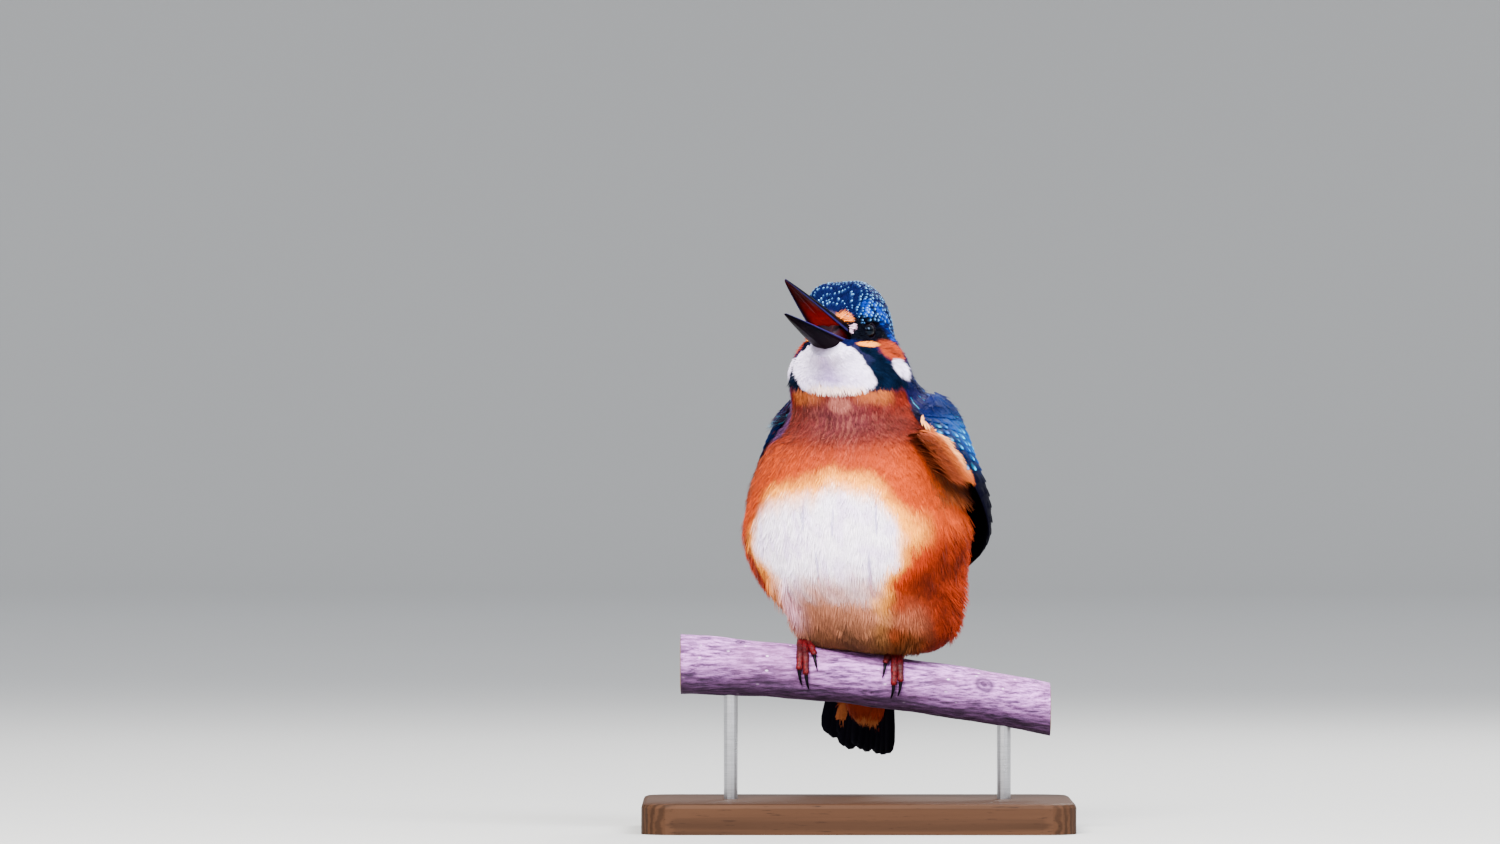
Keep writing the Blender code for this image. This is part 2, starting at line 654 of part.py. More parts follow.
def main():
    for thing in list(bpy.data.objects):
        bpy.data.objects.remove(thing)
    parts = new_collection("kingfisher")
    cutters = new_collection("cutters")
    flesh = add_flesh(parts)
    add_bill(flesh["head"], parts, cutters)
    add_eyes(flesh["head"], parts, cutters)
    add_wing("left", 1.0, parts)
    add_wing("right", -1.0, parts)
    add_tail(flesh["trunk"], parts, cutters)
    perch = add_branch(parts, cutters)
    cut(flesh["trunk"], add_branch(parts, cutters, grow=FOOT_ROOM))
    for side in FOOT_AT:
        add_leg(side, add_foot(side, parts, cutters), flesh["trunk"], parts, cutters)
    add_stand(perch, parts, cutters)


main()
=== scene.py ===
"""Looks of the kingfisher on its perch: skin, plumage, bill, eyes, feet, bark, stand, studio and camera."""

import bpy
import numpy as np
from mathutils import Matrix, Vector


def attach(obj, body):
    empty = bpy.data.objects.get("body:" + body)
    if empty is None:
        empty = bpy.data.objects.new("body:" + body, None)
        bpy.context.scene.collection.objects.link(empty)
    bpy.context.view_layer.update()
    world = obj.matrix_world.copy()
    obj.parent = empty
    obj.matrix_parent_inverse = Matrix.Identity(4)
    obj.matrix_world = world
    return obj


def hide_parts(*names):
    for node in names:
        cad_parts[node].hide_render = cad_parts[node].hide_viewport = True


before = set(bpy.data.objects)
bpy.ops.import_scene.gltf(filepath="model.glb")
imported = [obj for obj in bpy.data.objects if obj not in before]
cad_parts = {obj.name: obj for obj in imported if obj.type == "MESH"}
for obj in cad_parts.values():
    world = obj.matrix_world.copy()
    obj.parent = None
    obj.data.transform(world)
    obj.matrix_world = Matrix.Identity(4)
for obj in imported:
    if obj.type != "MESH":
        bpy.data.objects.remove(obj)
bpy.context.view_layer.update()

MM = 0.001
SIDES = {"left": 1.0, "right": -1.0}

# ---------------------------------------------------------------- sizes, in millimetres, as in the solids

BIRD_AT = 1.0                   # the bird's middle, along the branch
BODY_TURN = np.radians(14.0)    # the breast turned from -Y towards -X
HEAD_AT = (11.0, -2.6, 129.4)   # midway between the eyes
HEAD_TURN = np.radians(6.0)
HEAD_PITCH = np.radians(18.0)
HEAD_ROLL = np.radians(4.5)

# Forms: centre and radii (forward, left, up), and a lean back, in degrees.
TRUNK_FORMS = (
    ((2.0, -0.4, 78.0), (24.0, 30.1, 26.5), 6.0),       # belly
    ((1.0, 3.0, 58.0), (14.0, 15.0, 12.0), 0.0),        # vent
    ((4.0, 0.0, 91.0), (20.0, 25.0, 21.0), 0.0),        # breast
    ((-9.0, 0.0, 88.0), (12.5, 19.0, 26.0), 8.0),       # mantle
    ((-4.0, 15.0, 101.5), (10.0, 8.5, 11.0), 0.0),      # left shoulder
    ((-4.0, -13.0, 101.5), (9.0, 7.5, 10.0), 0.0),      # right shoulder
    ((-13.0, -1.0, 62.0), (14.0, 17.0, 21.0), 30.0),    # rump
    ((0.5, -1.0, 112.0), (15.0, 15.4, 14.0), 0.0),      # neck
    ((8.5, -2.0, 115.5), (11.0, 13.0, 10.5), 0.0),      # throat
    ((11.5, -2.6, 118.0), (10.0, 10.2, 8.0), 0.0),      # white bib
    ((-25.5, -5.0, 40.5), (4.2, 7.8, 19.0), 33.0),      # tail coverts
    ((0.0, 16.5, 58.0), (10.0, 10.3, 12.0), 0.0),       # left thigh
    ((0.0, -10.5, 57.0), (8.0, 7.0, 10.0), 0.0),        # right thigh
)
TRUNK_FILLET = 7.0
HEAD_FORMS = (                                          # in the head's frame
    ((-8.5, 0.0, 1.6), (13.2, 10.5, 14.0), 0.0),        # cranium
    ((-1.5, 3.8, 6.6), (9.5, 5.6, 6.6), 0.0),           # left side of the crown
    ((-1.5, -3.8, 6.6), (9.5, 5.6, 6.6), 0.0),          # right side of the crown
    ((1.6, 0.0, 1.0), (9.8, 6.8, 6.2), 0.0),            # forehead and lores
    ((-8.0, 0.0, -7.0), (9.0, 13.9, 7.5), 0.0),         # ear coverts
    ((4.0, 0.0, -3.4), (12.5, 4.7, 4.7), 0.0),          # flesh in the root of the bill
    ((4.0, 0.0, -7.2), (12.5, 6.6, 4.2), 14.0),         # chin
)
HEAD_FILLET = 4.0
NECK_FILLET = 6.0
# The path inside the bird: forward, left, up, and the tilt of its rings, in degrees.
PATH = (
    (24.4, -3.9, 129.0, 28.0),      # 0, root of the bill
    (13.4, -2.9, 127.8, 43.0),      # 1, eyes
    (6.5, -2.3, 124.4, 63.0),       # 2, crown
    (2.0, -1.8, 118.6, 80.0),       # 3, nape
    (0.5, -1.2, 112.0, 89.0),       # 4, neck
    (1.0, -0.6, 103.0, 90.0),       # 5, shoulders
    (1.5, 0.0, 90.0, 88.0),         # 6, breast
    (0.5, 0.0, 75.0, 80.0),         # 7, belly
    (-6.0, 0.0, 62.0, 64.0),        # 8, thighs
    (-14.0, -1.0, 53.5, 48.0),      # 9, rump
    (-22.0, -3.4, 45.5, 38.0),      # 10, tail coverts
    (-33.6, -7.2, 28.2, 34.0),      # 11, ends of the coverts
)
PATH_STEPS = len(PATH) - 1.0
PATH_END = 10.99                    # the last ring, just before the path's last row
FORM_ROWS = 397                     # of the table of places on the form
FORM_COLUMNS = 360

BRANCH_ENDS = (-46.0, 50.0)
BRANCH_HEIGHT = 39.3
BRANCH_SLOPE = -0.12
BRANCH_SAG = -0.0008
BRANCH_RADIUS = 7.0
BRANCH_SWELL = 1.0


# ---------------------------------------------------------------- frames


def head_axes():
    """The head's forward, left and up directions as rows, in the bird's frame."""
    turn, pitch = -HEAD_TURN, HEAD_PITCH
    forward = np.array([np.cos(turn) * np.cos(pitch), np.sin(turn) * np.cos(pitch), np.sin(pitch)])
    level = np.array([-np.sin(turn), np.cos(turn), 0.0])
    up = np.cross(forward, level)
    left = level * np.cos(HEAD_ROLL) + up * np.sin(HEAD_ROLL)
    return np.array([forward, left, np.cross(forward, left)])


HEAD_AXES = head_axes()


def from_head(points):
    """The head's frame to the bird's frame."""
    return np.asarray(points, float) @ HEAD_AXES + HEAD_AT


def in_head(points):
    """The bird's frame to the head's frame."""
    return (np.asarray(points, float) - HEAD_AT) @ HEAD_AXES.T


def to_world(points):
    """The bird's frame to the world, still in millimetres: a turn about the vertical."""
    forward, left, up = np.moveaxis(np.asarray(points, float), -1, 0)
    sine, cosine = np.sin(BODY_TURN), np.cos(BODY_TURN)
    return np.stack([left * cosine - forward * sine + BIRD_AT, -forward * cosine - left * sine, up], -1)


def to_bird(points):
    """World millimetres to the bird's frame."""
    x, y, up = np.moveaxis(np.asarray(points, float), -1, 0)
    sine, cosine = np.sin(BODY_TURN), np.cos(BODY_TURN)
    x = x - BIRD_AT
    return np.stack([-x * sine - y * cosine, x * cosine - y * sine, up], -1)


def unit(vectors):
    """Vectors of length 1."""
    return vectors / (np.linalg.norm(vectors, axis=-1, keepdims=True) + 1e-12)


def smooth_step(low, high, value):
    """0 below low and 1 above high, eased between: 3t^2 - 2t^3."""
    share = np.clip((value - low) / (high - low), 0.0, 1.0)
    return share * share * (3.0 - 2.0 * share)


def fall_off(low, high, value):
    """1 below low and 0 above high, eased between."""
    return 1.0 - smooth_step(low, high, value)


def bell(offset, width):
    """1 at 0 and fading on both sides: exp(-(offset / width)^2)."""
    return np.exp(-((offset / width) ** 2))


def full_turn(count):
    """Angles evenly round a circle."""
    return np.linspace(0.0, 2 * np.pi, count, endpoint=False)


def signed_degrees(angle):
    """Degrees from the ventral midline, above 0 on the bird's left and below 0 on its right."""
    return np.degrees(np.mod(angle + np.pi, 2 * np.pi) - np.pi)


def wide_degrees(angle):
    """Degrees from the ventral midline on either side."""
    return np.abs(signed_degrees(angle))


def branch_centre(x):
    """Height of the branch's axis, in the world."""
    return BRANCH_HEIGHT + BRANCH_SLOPE * x + BRANCH_SAG * x * x


def branch_radius(x):
    """Radius of the bark, which swells towards the branch's -X end."""
    return BRANCH_RADIUS + BRANCH_SWELL * np.maximum(0.0, x / BRANCH_ENDS[0]) ** 2


# ---------------------------------------------------------------- the bird's form


def ellipsoid(points, centre, radii, lean=0.0):
    """Roughly the distance to an ellipsoid: r(r-1) over the slope of r, its stretched radius."""
    offset = points - np.array(centre)
    if lean:
        sine, cosine = np.sin(np.radians(lean)), np.cos(np.radians(lean))
        forward, up = offset[..., 0], offset[..., 2]
        offset = np.stack([forward * cosine - up * sine, offset[..., 1], forward * sine + up * cosine], -1)
    scaled = offset / np.array(radii)
    ratio = np.sqrt(np.einsum("...i,...i->...", scaled, scaled))
    scaled = scaled / np.array(radii)
    slope = np.sqrt(np.einsum("...i,...i->...", scaled, scaled)) + 1e-9
    return ratio * (ratio - 1.0) / slope


def joined(first, second, fillet):
    """Two distances joined with a fillet."""
    share = np.clip(0.5 + 0.5 * (second - first) / fillet, 0.0, 1.0)
    return second + (first - second) * share - fillet * share * (1.0 - share)


def body_distance(points):
    """Distance to the outside of the plumage, below 0 inside it: forms joined with fillets."""
    local = in_head(points)
    head = ellipsoid(local, *HEAD_FORMS[0])
    for form in HEAD_FORMS[1:]:
        head = joined(head, ellipsoid(local, *form), HEAD_FILLET)
    trunk = ellipsoid(points, *TRUNK_FORMS[0])
    for form in TRUNK_FORMS[1:]:
        trunk = joined(trunk, ellipsoid(points, *form), TRUNK_FILLET)
    return joined(head, trunk, NECK_FILLET)


def smooth_curve(rows, at):
    """The Catmull-Rom curve through the rows, at parameters that count rows."""
    rows = np.asarray(rows, float)
    last = len(rows) - 1
    index = np.clip(np.floor(at).astype(int), 0, last - 1)
    step = (at - index)[..., None]
    before, here, after, beyond = (rows[np.clip(index + k, 0, last)] for k in (-1, 0, 1, 2))
    return 0.5 * (
        2 * here
        + (after - before) * step
        + (2 * before - 5 * here + 4 * after - beyond) * step**2
        + (3 * here - before - 3 * after + beyond) * step**3
    )


def form_tables():
    """Places, outward normals and both slopes on a grid of path parameter by angle.

    A place is where a ray in its ring's plane leaves the form: the ray's reach grows by the distance that
    is left until none is left. Angles run from the ventral midline to the bird's left.
    """
    along = np.linspace(0.0, PATH_STEPS, FORM_ROWS)[:, None]
    angle = full_turn(FORM_COLUMNS)[None, :]
    row = smooth_curve(PATH, along[:, 0])
    centre, tilt = row[:, None, :3], np.radians(row[:, None, 3])
    ventral = np.stack([np.sin(tilt), np.zeros_like(tilt), -np.cos(tilt)], -1)
    ray = ventral * np.cos(angle)[..., None] + np.array([0.0, 1.0, 0.0]) * np.sin(angle)[..., None]
    reach = np.zeros(along.shape[:1] + angle.shape[1:])
    for _ in range(22):
        reach = reach - body_distance(centre + ray * reach[..., None])
    places = centre + ray * reach[..., None]
    nudge = 0.05
    slopes = [
        body_distance(places + axis * nudge) - body_distance(places - axis * nudge) for axis in np.eye(3)
    ]
    normals = unit(np.stack(slopes, -1))
    wrapped = np.concatenate([places[:, -1:], places, places[:, :1]], 1)
    by_angle = (wrapped[:, 2:] - wrapped[:, :-2]) * FORM_COLUMNS / (4 * np.pi)
    by_along = np.gradient(places, along[:, 0], axis=0)
    return np.concatenate([places, normals, by_along, by_angle], -1)


FORM = form_tables()


def on_form(along, angle):
    """Place, normal and slopes at path parameters and angles: the table's four nearest values, mixed, and
    straight on beyond the path's ends."""
    within = np.clip(along, 0.0, len(PATH) - 1.001)
    row = within * (FORM_ROWS - 1) / PATH_STEPS
    column = np.mod(angle, 2 * np.pi) * FORM_COLUMNS / (2 * np.pi)
    low_row, low_column = row.astype(int), column.astype(int)
    down, over = (row - low_row)[..., None], (column - low_column)[..., None]
    low_column = low_column % FORM_COLUMNS
    next_column = (low_column + 1) % FORM_COLUMNS
    near = FORM[low_row, low_column] * (1 - over) + FORM[low_row, next_column] * over
    far = FORM[low_row + 1, low_column] * (1 - over) + FORM[low_row + 1, next_column] * over
    mixed = near * (1 - down) + far * down
    place = mixed[..., :3] + mixed[..., 6:9] * (along - within)[..., None]
    return place, unit(mixed[..., 3:6]), mixed[..., 6:9], mixed[..., 9:]


# ---------------------------------------------------------------- meshes


def tint(red, green, blue):
    """A linear colour from everyday values of 0 to 255."""
    share = np.array([red, green, blue]) / 255.0
    return np.where(share <= 0.04045, share / 12.92, ((share + 0.055) / 1.055) ** 2.4)


def mix(colour, other, share):
    """Colours moved towards another by a share from 0 to 1."""
    return colour + (other - colour) * np.asarray(share)[..., None]


def painted(colour, gloss=0.5):
    """Colours with a gloss."""
    return np.concatenate([colour, np.broadcast_to(gloss, colour.shape[:-1])[..., None]], -1)


def new_object(name, data):
    """A new object in the scene."""
    made = bpy.data.objects.new(name, data)
    bpy.context.scene.collection.objects.link(made)
    return made


def make_piece(
    name, points, faces, finish, replaced=(), uv=None, paint=None, corner_uv=None, sides=None,
):
    """A smooth mesh piece from points in world millimetres and arrays of faces, one array to a face size.

    uv is a place on the unwrap for each point, or corner_uv for each corner, and paint is a colour with a
    gloss for each point. An edge between two points of sides is creased. Faces that enclose a volume below 0
    point inwards, and are turned over.
    """
    mesh = bpy.data.meshes.new(name)
    spans = [
        (part[:, 0], part[:, at], part[:, at + 1]) for part in faces for at in range(1, part.shape[1] - 1)
    ]
    if sum(np.sum(points[a] * np.cross(points[b], points[c])) for a, b, c in spans) < 0:
        if corner_uv is not None:
            cuts = np.cumsum([part.size for part in faces])[:-1]
            shares = zip(np.split(corner_uv, cuts), faces)
            turned = [corners.reshape(*part.shape, 2)[:, ::-1] for corners, part in shares]
            corner_uv = np.concatenate([corners.reshape(-1, 2) for corners in turned])
        faces = [part[:, ::-1] for part in faces]
    corners = np.concatenate([part.ravel() for part in faces]).astype(np.int32)
    sizes = np.concatenate([np.full(len(part), part.shape[1]) for part in faces])
    starts = np.concatenate([[0], np.cumsum(sizes)[:-1]]).astype(np.int32)
    mesh.vertices.add(len(points))
    mesh.vertices.foreach_set("co", (points * MM).astype(np.float32).ravel())
    mesh.loops.add(len(corners))
    mesh.loops.foreach_set("vertex_index", corners)
    mesh.polygons.add(len(sizes))
    mesh.polygons.foreach_set("loop_start", starts)
    mesh.polygons.foreach_set("use_smooth", np.ones(len(sizes), bool))
    mesh.update(calc_edges=True)
    if sides is not None:
        ends = np.zeros(len(mesh.edges) * 2, np.int32)
        mesh.edges.foreach_get("vertices", ends)
        creased = sides[ends].reshape(-1, 2).all(1)
        mesh.attributes.new("sharp_edge", "BOOLEAN", "EDGE").data.foreach_set("value", creased)
    if uv is not None:
        corner_uv = uv[corners]
    if corner_uv is not None:
        layer = mesh.uv_layers.new(name="OFBake")
        layer.uv.foreach_set("vector", corner_uv.astype(np.float32).ravel())
    if paint is not None:
        layer = mesh.color_attributes.new("paint", "FLOAT_COLOR", "POINT")
        layer.data.foreach_set("color", paint.astype(np.float32).ravel())
    mesh.materials.append(finish)
    piece = new_object(name, mesh)
    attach(piece, "root")
    if replaced:
        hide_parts(*replaced)


def ring_quads(rings, around):
    """Quads between rings of points numbered ring by ring."""
    ring = np.arange(rings - 1)[:, None] * around
    here = np.arange(around)[None, :]
    after = (here + 1) % around
    quads = np.stack([ring + here, ring + after, ring + around + after, ring + around + here], -1)
    return quads.reshape(-1, 4)


def with_ends(rings):
    """Values of rings one after another, and then the means of the first and of the last ring."""
    flat = rings.reshape(-1, rings.shape[-1])
    return np.concatenate([flat, rings[0].mean(0)[None], rings[-1].mean(0)[None]])


def sleeve(rings):
    """Points and faces of a closed sleeve: rings of points (rings, around, 3) with a fan over each end."""
    count, around = rings.shape[:2]
    start, end, last = count * around, count * around + 1, (count - 1) * around
    here = np.arange(around)
    after = (here + 1) % around
    fans = np.concatenate([
        np.stack([np.full(around, start), after, here], -1),
        np.stack([np.full(around, end), last + here, last + after], -1),
    ])
    return with_ends(rings), [ring_quads(count, around), fans]


def joined_faces(parts):
    """The faces of several (points, faces, ...) as those of one, faces of one size together."""
    base, by_size = 0, {}
    for points, faces, *_ in parts:
        for some in faces:
            by_size.setdefault(some.shape[1], []).append(some + base)
        base += len(points)
    return [np.concatenate(some) for some in by_size.values()]


def tube(path, radii, around=16, squash=1.0, up=(0.0, 0.0, 1.0)):
    """A closed tube: circles of the given radii across a path, flattened along up by squash."""
    along = unit(np.gradient(path, axis=0))
    side = unit(np.cross(np.broadcast_to(up, along.shape), along))
    over = np.cross(along, side)
    turn = full_turn(around)
    radii = np.broadcast_to(radii, (len(path),))[:, None, None]
    rings = path[:, None] + radii * (
        side[:, None] * np.cos(turn)[None, :, None] + over[:, None] * squash * np.sin(turn)[None, :, None]
    )
    return sleeve(rings)


# ---------------------------------------------------------------- material nodes


class Value:
    """A shader socket with a value, on which arithmetic adds Math nodes."""

    def __init__(self, graph, socket):
        self.graph, self.socket = graph, socket

    def math(self, operation, first, second):
        return self.graph.node("ShaderNodeMath", {"operation": operation}, {0: first, 1: second})

    def __add__(self, other):
        return self.math("ADD", self, other)

    def __sub__(self, other):
        return self.math("SUBTRACT", self, other)

    def __rsub__(self, other):
        return self.math("SUBTRACT", other, self)

    def __mul__(self, other):
        return self.math("MULTIPLY", self, other)

    __radd__ = __add__
    __rmul__ = __mul__

    def between(self, low, high):
        """0 at low and 1 at high, eased."""
        return self.graph.node("ShaderNodeMapRange", {"interpolation_type": "SMOOTHSTEP"}, {
            "Value": self, "From Min": low, "From Max": high,
        })


class Finish:
    """A Principled material and the nodes that feed it."""

    def __init__(self, name, **fixed):
        self.material = bpy.data.materials.new(name)
        self.material.use_nodes = True
        self.tree = self.material.node_tree
        self.shader = self.tree.nodes["Principled BSDF"]
        for socket, value in fixed.items():
            self.shader.inputs[socket.replace("_", " ")].default_value = value

    def node(self, kind, settings=None, inputs=None, output=0):
        made = self.tree.nodes.new(kind)
        for setting, value in (settings or {}).items():
            setattr(made, setting, value)
        for socket, value in (inputs or {}).items():
            self.join(value, made.inputs[socket])
        return Value(self, made.outputs[output])

    def join(self, value, socket):
        if isinstance(value, Value):
            self.tree.links.new(value.socket, socket)
        elif np.ndim(value) and socket.type == "RGBA":
            socket.default_value = (*value, 1.0)
        else:
            socket.default_value = value

    def feed(self, **sockets):
        for socket, value in sockets.items():
            self.join(value, self.shader.inputs[socket.replace("_", " ")])

    def place(self, scale=(1.0, 1.0, 1.0), turn=(0.0, 0.0, 0.0)):
        """Object coordinates, turned and then stretched."""
        spot = self.node("ShaderNodeTexCoord", output=3)
        return self.node("ShaderNodeMapping", {"vector_type": "POINT"}, {
            "Vector": spot, "Scale": scale, "Rotation": turn,
        })

    def noise(self, scale, detail, rough=0.55, at=None):
        return self.node("ShaderNodeTexNoise", None, {
            "Vector": at or self.place(), "Scale": scale, "Detail": detail, "Roughness": rough,
        })

    def blend(self, share, first, second, how="MIX"):
        """Colours mixed by a share."""
        return self.node("ShaderNodeMix", {"data_type": "RGBA", "blend_type": how}, {
            0: share, 6: first, 7: second,
        }, output=2)

    def bump(self, height, distance, strength):
        return self.node("ShaderNodeBump", None, {
            "Height": height, "Distance": distance * MM, "Strength": strength,
        })

    def paint(self, output=0):
        """The piece's paint: its colour, or its gloss at output 3."""
        return self.node("ShaderNodeAttribute", {"attribute_name": "paint"}, output=output)

    def toned(self, tone):
        """The painted colour times a tone."""
        return self.blend(1.0, self.paint(), tone, "MULTIPLY")


# ---------------------------------------------------------------- colours of the plumage

NAVY = tint(6, 10, 50)
CROWN_SPOT = tint(120, 196, 255)
TURQUOISE = tint(0, 105, 215)
AZURE = tint(0, 51, 155)
MANTLE = tint(5, 22, 56)
BLACK = tint(4, 3, 7)
TEAL = tint(3, 12, 30)
RUST = tint(135, 48, 22)
STREAK = tint(255, 146, 22)
LORAL = tint(215, 112, 36)
PINK = tint(235, 190, 215)
BIB = tint(240, 226, 255)
BIB_PAINTED_SHADE = tint(150, 114, 184)
CREAM = tint(240, 205, 185)
BREAST = tint(101, 25, 10)
DUSKY = tint(78, 34, 40)
DUSKY_PALE = tint(160, 92, 80)
BELLY = tint(250, 238, 255)
APRICOT = tint(255, 164, 44)
FLANK = tint(145, 37, 1)
FLANK_DEEP = tint(73, 14, 2)
BUFF = tint(72, 42, 17)
BUFF_PALE = tint(185, 114, 85)
BREAST_DEEP = tint(86, 21, 9)
BREAST_LOW = tint(165, 54, 4)
COLLAR = tint(178, 93, 36)
BELLY_PAINTED_SHADE = tint(218, 192, 233)
PARTING_SHADE = tint(120, 100, 170)
THIGH = tint(245, 186, 210)
CLEFT_SHADE = tint(65, 41, 26)
UNDERTAIL = tint(127, 40, 12)
WING_BLUE = tint(1, 30, 86)
WING_GREEN = tint(1, 28, 57)
WING_VIOLET = tint(11, 9, 51)
WING_EDGE_SHADE = tint(2, 3, 23)
WING_SPOT = tint(30, 208, 255)
LINING = tint(104, 42, 19)
LINING_LIGHT = tint(167, 79, 32)
LINING_PAINTED_SHADE = tint(84, 36, 22)
LINING_CREAM = tint(225, 150, 88)
SCAPULAR = tint(14, 12, 56)
SCAPULAR_RIGHT = tint(80, 44, 84)

# Edges of markings: path parameter and degrees from the ventral midline.
BIB_EDGE = (
    (0.0, 62), (0.5, 57), (0.8, 49), (1.1, 43), (2.1, 36), (3.0, 33), (3.5, 28), (3.8, 19), (3.96, 0),
)
NAPE_EDGE = ((0.4, 108), (0.6, 119), (1.45, 119), (1.7, 97))
BIB_FAR_SHIFT = ((0.6, 2), (1.3, 26), (2.2, 24), (2.8, 3), (4.0, 0))
MALAR_TOP = ((0.3, 58), (0.45, 63), (0.8, 70), (1.2, 70), (1.8, 62), (2.8, 60), (3.4, 66), (3.8, 66))
SHADED_PARTINGS = (                        # painted shade in partings of the belly's down: tens of path parameter and degrees, radii, lean
    ((64.5, -22.5), (2.5, 1.1), -5.0),
    ((65.5, -3.5), (2.2, 0.9), -5.0),
    ((64.5, 22.5), (2.8, 0.9), 5.0),
    ((73.0, 18.0), (3.0, 1.0), 0.0),
    ((72.0, -14.0), (2.5, 0.8), 0.0),
)
ORANGE_LOW = ((6.0, 104), (8.0, 118), (8.7, 112), (9.4, 98), (11.0, 88))
ORANGE_LEFT = ((3.5, 60), (4.0, 65), (4.9, 70), (5.3, 86)) + ORANGE_LOW
ORANGE_RIGHT = ((3.5, 51), (3.9, 55), (4.7, 59), (5.1, 57), (5.4, 76)) + ORANGE_LOW
WHITE_TOP = (                       # degrees, and path parameter
    (-75, 6.75), (-52, 6.36), (-34, 6.2), (-18, 6.12), (-4, 6.0), (11, 6.04), (22, 6.12), (33, 6.4),
    (45, 6.8),
)
WHITE_LEFT = ((5.7, 25), (6.2, 30), (6.7, 36), (7.05, 36), (7.25, 29), (7.5, 21), (8.2, 17), (8.8, 14))
WHITE_RIGHT = ((5.6, 46), (6.2, 52), (6.8, 61), (7.1, 56), (7.4, 46), (7.9, 46), (8.3, 44), (8.8, 34))


def edge(table, at):
    """A marking's edge, straight between its rows."""
    rows = np.array(table, float)
    return np.interp(at, rows[:, 0], rows[:, 1])


def grain(points, scale, seed):
    """A soft unevenness about 0, from -1 to 1: eight waves of a given length in millimetres, summed."""
    chance = np.random.default_rng(seed)
    total = np.zeros(points.shape[:-1])
    for _ in range(8):
        wave = chance.normal(size=3) * 2.0 / scale
        total += np.sin(points @ wave + chance.uniform(0, 2 * np.pi))
    return np.clip(total / 3.2, -1.0, 1.0)


def oval(across, up, middle, radii, lean=0.0):
    """1 inside an oval and 0 outside, eased at its rim."""
    turn = np.radians(lean)
    first, second = across - middle[0], up - middle[1]
    turned = first * np.cos(turn) + second * np.sin(turn), second * np.cos(turn) - first * np.sin(turn)
    return 1.0 - smooth_step(0.82, 1.18, np.hypot(turned[0] / radii[0], turned[1] / radii[1]))


def cloud(across, up, middle, radii):
    """A soft round patch: 1 in its middle and fading away."""
    return bell(across - middle[0], radii[0]) * bell(up - middle[1], radii[1])


def trunk_colour(along, signed, place, patch, fine):
    """Colour of the breast, belly, flanks and vent, and of the coverts under the tail."""
    wide, right = np.abs(signed), signed < 0
    breast = mix(BREAST, BREAST_DEEP, smooth_step(0.1, 0.9, patch))
    breast = mix(breast, BREAST_LOW, smooth_step(4.9, 5.7, along))
    strands = grain(place * (1.0, 1.0, 0.16), 1.1, 7)
    flecks = smooth_step(0.05, 0.45, grain(place * (1.0, 1.0, 0.4), 0.7, 8))
    collar = fall_off(4.1, 4.4, along) * smooth_step(6.0, 18.0, wide) * fall_off(36, 50, wide)
    breast = mix(breast, COLLAR, 0.75 * collar)
    dusky = cloud(along, signed, (4.65, 0.0), (0.72, 34.0)) ** 0.7
    scales = DUSKY * (1.0 + 0.25 * strands[..., None])
    breast = mix(breast, mix(scales, DUSKY_PALE, 0.3 * flecks), 0.85 * dusky)
    breast = mix(breast, DUSKY_PALE, 0.6 * oval(along, signed, (4.28, 0.0), (0.24, 9.0)))
    below = along - edge(WHITE_TOP, signed)
    turned = smooth_step(-0.42, 0.04, below + 0.07 * patch)
    whiteness = smooth_step(-0.10, 0.30, below + 0.05 * patch + 0.05 * strands)
    limit = np.where(right, edge(WHITE_RIGHT, along), edge(WHITE_LEFT, along))
    inward = limit - wide + 3.0 * patch + 1.5 * strands
    # lilac-grey along the strands of down and in the partings between clumps: painted shade
    belly = mix(BELLY, BELLY_PAINTED_SHADE, 0.5 * smooth_step(0.0, 0.8, strands))
    for middle, radii, lean in SHADED_PARTINGS:
        belly = mix(belly, PARTING_SHADE, 0.55 * oval(along * 10, signed, middle, radii, lean))
    belly = mix(belly, BUFF_PALE, smooth_step(7.15, 7.75, along + 0.1 * patch))
    flank = mix(APRICOT, FLANK, smooth_step(1.0, 13.0, -inward))
    # deeper chestnut low on the flanks is the plumage's own colour; far more of it on the left flank, away
    # from the key light, is painted shade
    deep_and_shade = smooth_step(6.3, 7.1, along) * smooth_step(14.0, 26.0, -inward) * fall_off(44.0, 62.0, -inward)
    deep_and_shade = deep_and_shade * np.where(right, 0.25, 0.9)
    flank = mix(flank, FLANK_DEEP, deep_and_shade * (0.8 + 0.2 * strands))
    buff = 0.8 * smooth_step(7.4, 8.3, along) * fall_off(6.0, 16.0, -inward)
    flank = mix(flank, mix(BUFF, BUFF_PALE, 0.5), buff)
    lower = mix(flank, belly, smooth_step(-7.0, 5.0, inward))
    upper = mix(APRICOT, BREAST_LOW, smooth_step(44.0, 60.0, wide))
    trunk = mix(mix(breast, upper, turned), lower, whiteness)
    thigh = cloud(along, signed, (7.9, -42.0), (0.35, 8.0))
    trunk = mix(trunk, THIGH, 0.8 * thigh)
    vent = smooth_step(7.3, 8.5, along + 0.12 * patch) * fall_off(36, 56, wide) * (1 - thigh)
    trunk = mix(trunk, mix(BUFF, BUFF_PALE, 0.5 * smooth_step(-0.1, 0.7, patch)), 0.85 * vent)
    # dark brown in the cleft between the legs and lower under the vent: painted shade
    cleft_shade = 0.75 * cloud(along, signed, (8.35, -1.0), (0.5, 8.0))
    trunk = mix(trunk, CLEFT_SHADE, np.maximum(cleft_shade, 0.6 * smooth_step(8.7, 9.2, along) * fall_off(30, 60, wide)))
    trunk = mix(trunk, UNDERTAIL, smooth_step(9.2, 9.9, along))
    return mix(trunk, LINING_CREAM, 0.3 * smooth_step(10.85, 10.97, along + 0.03 * fine))


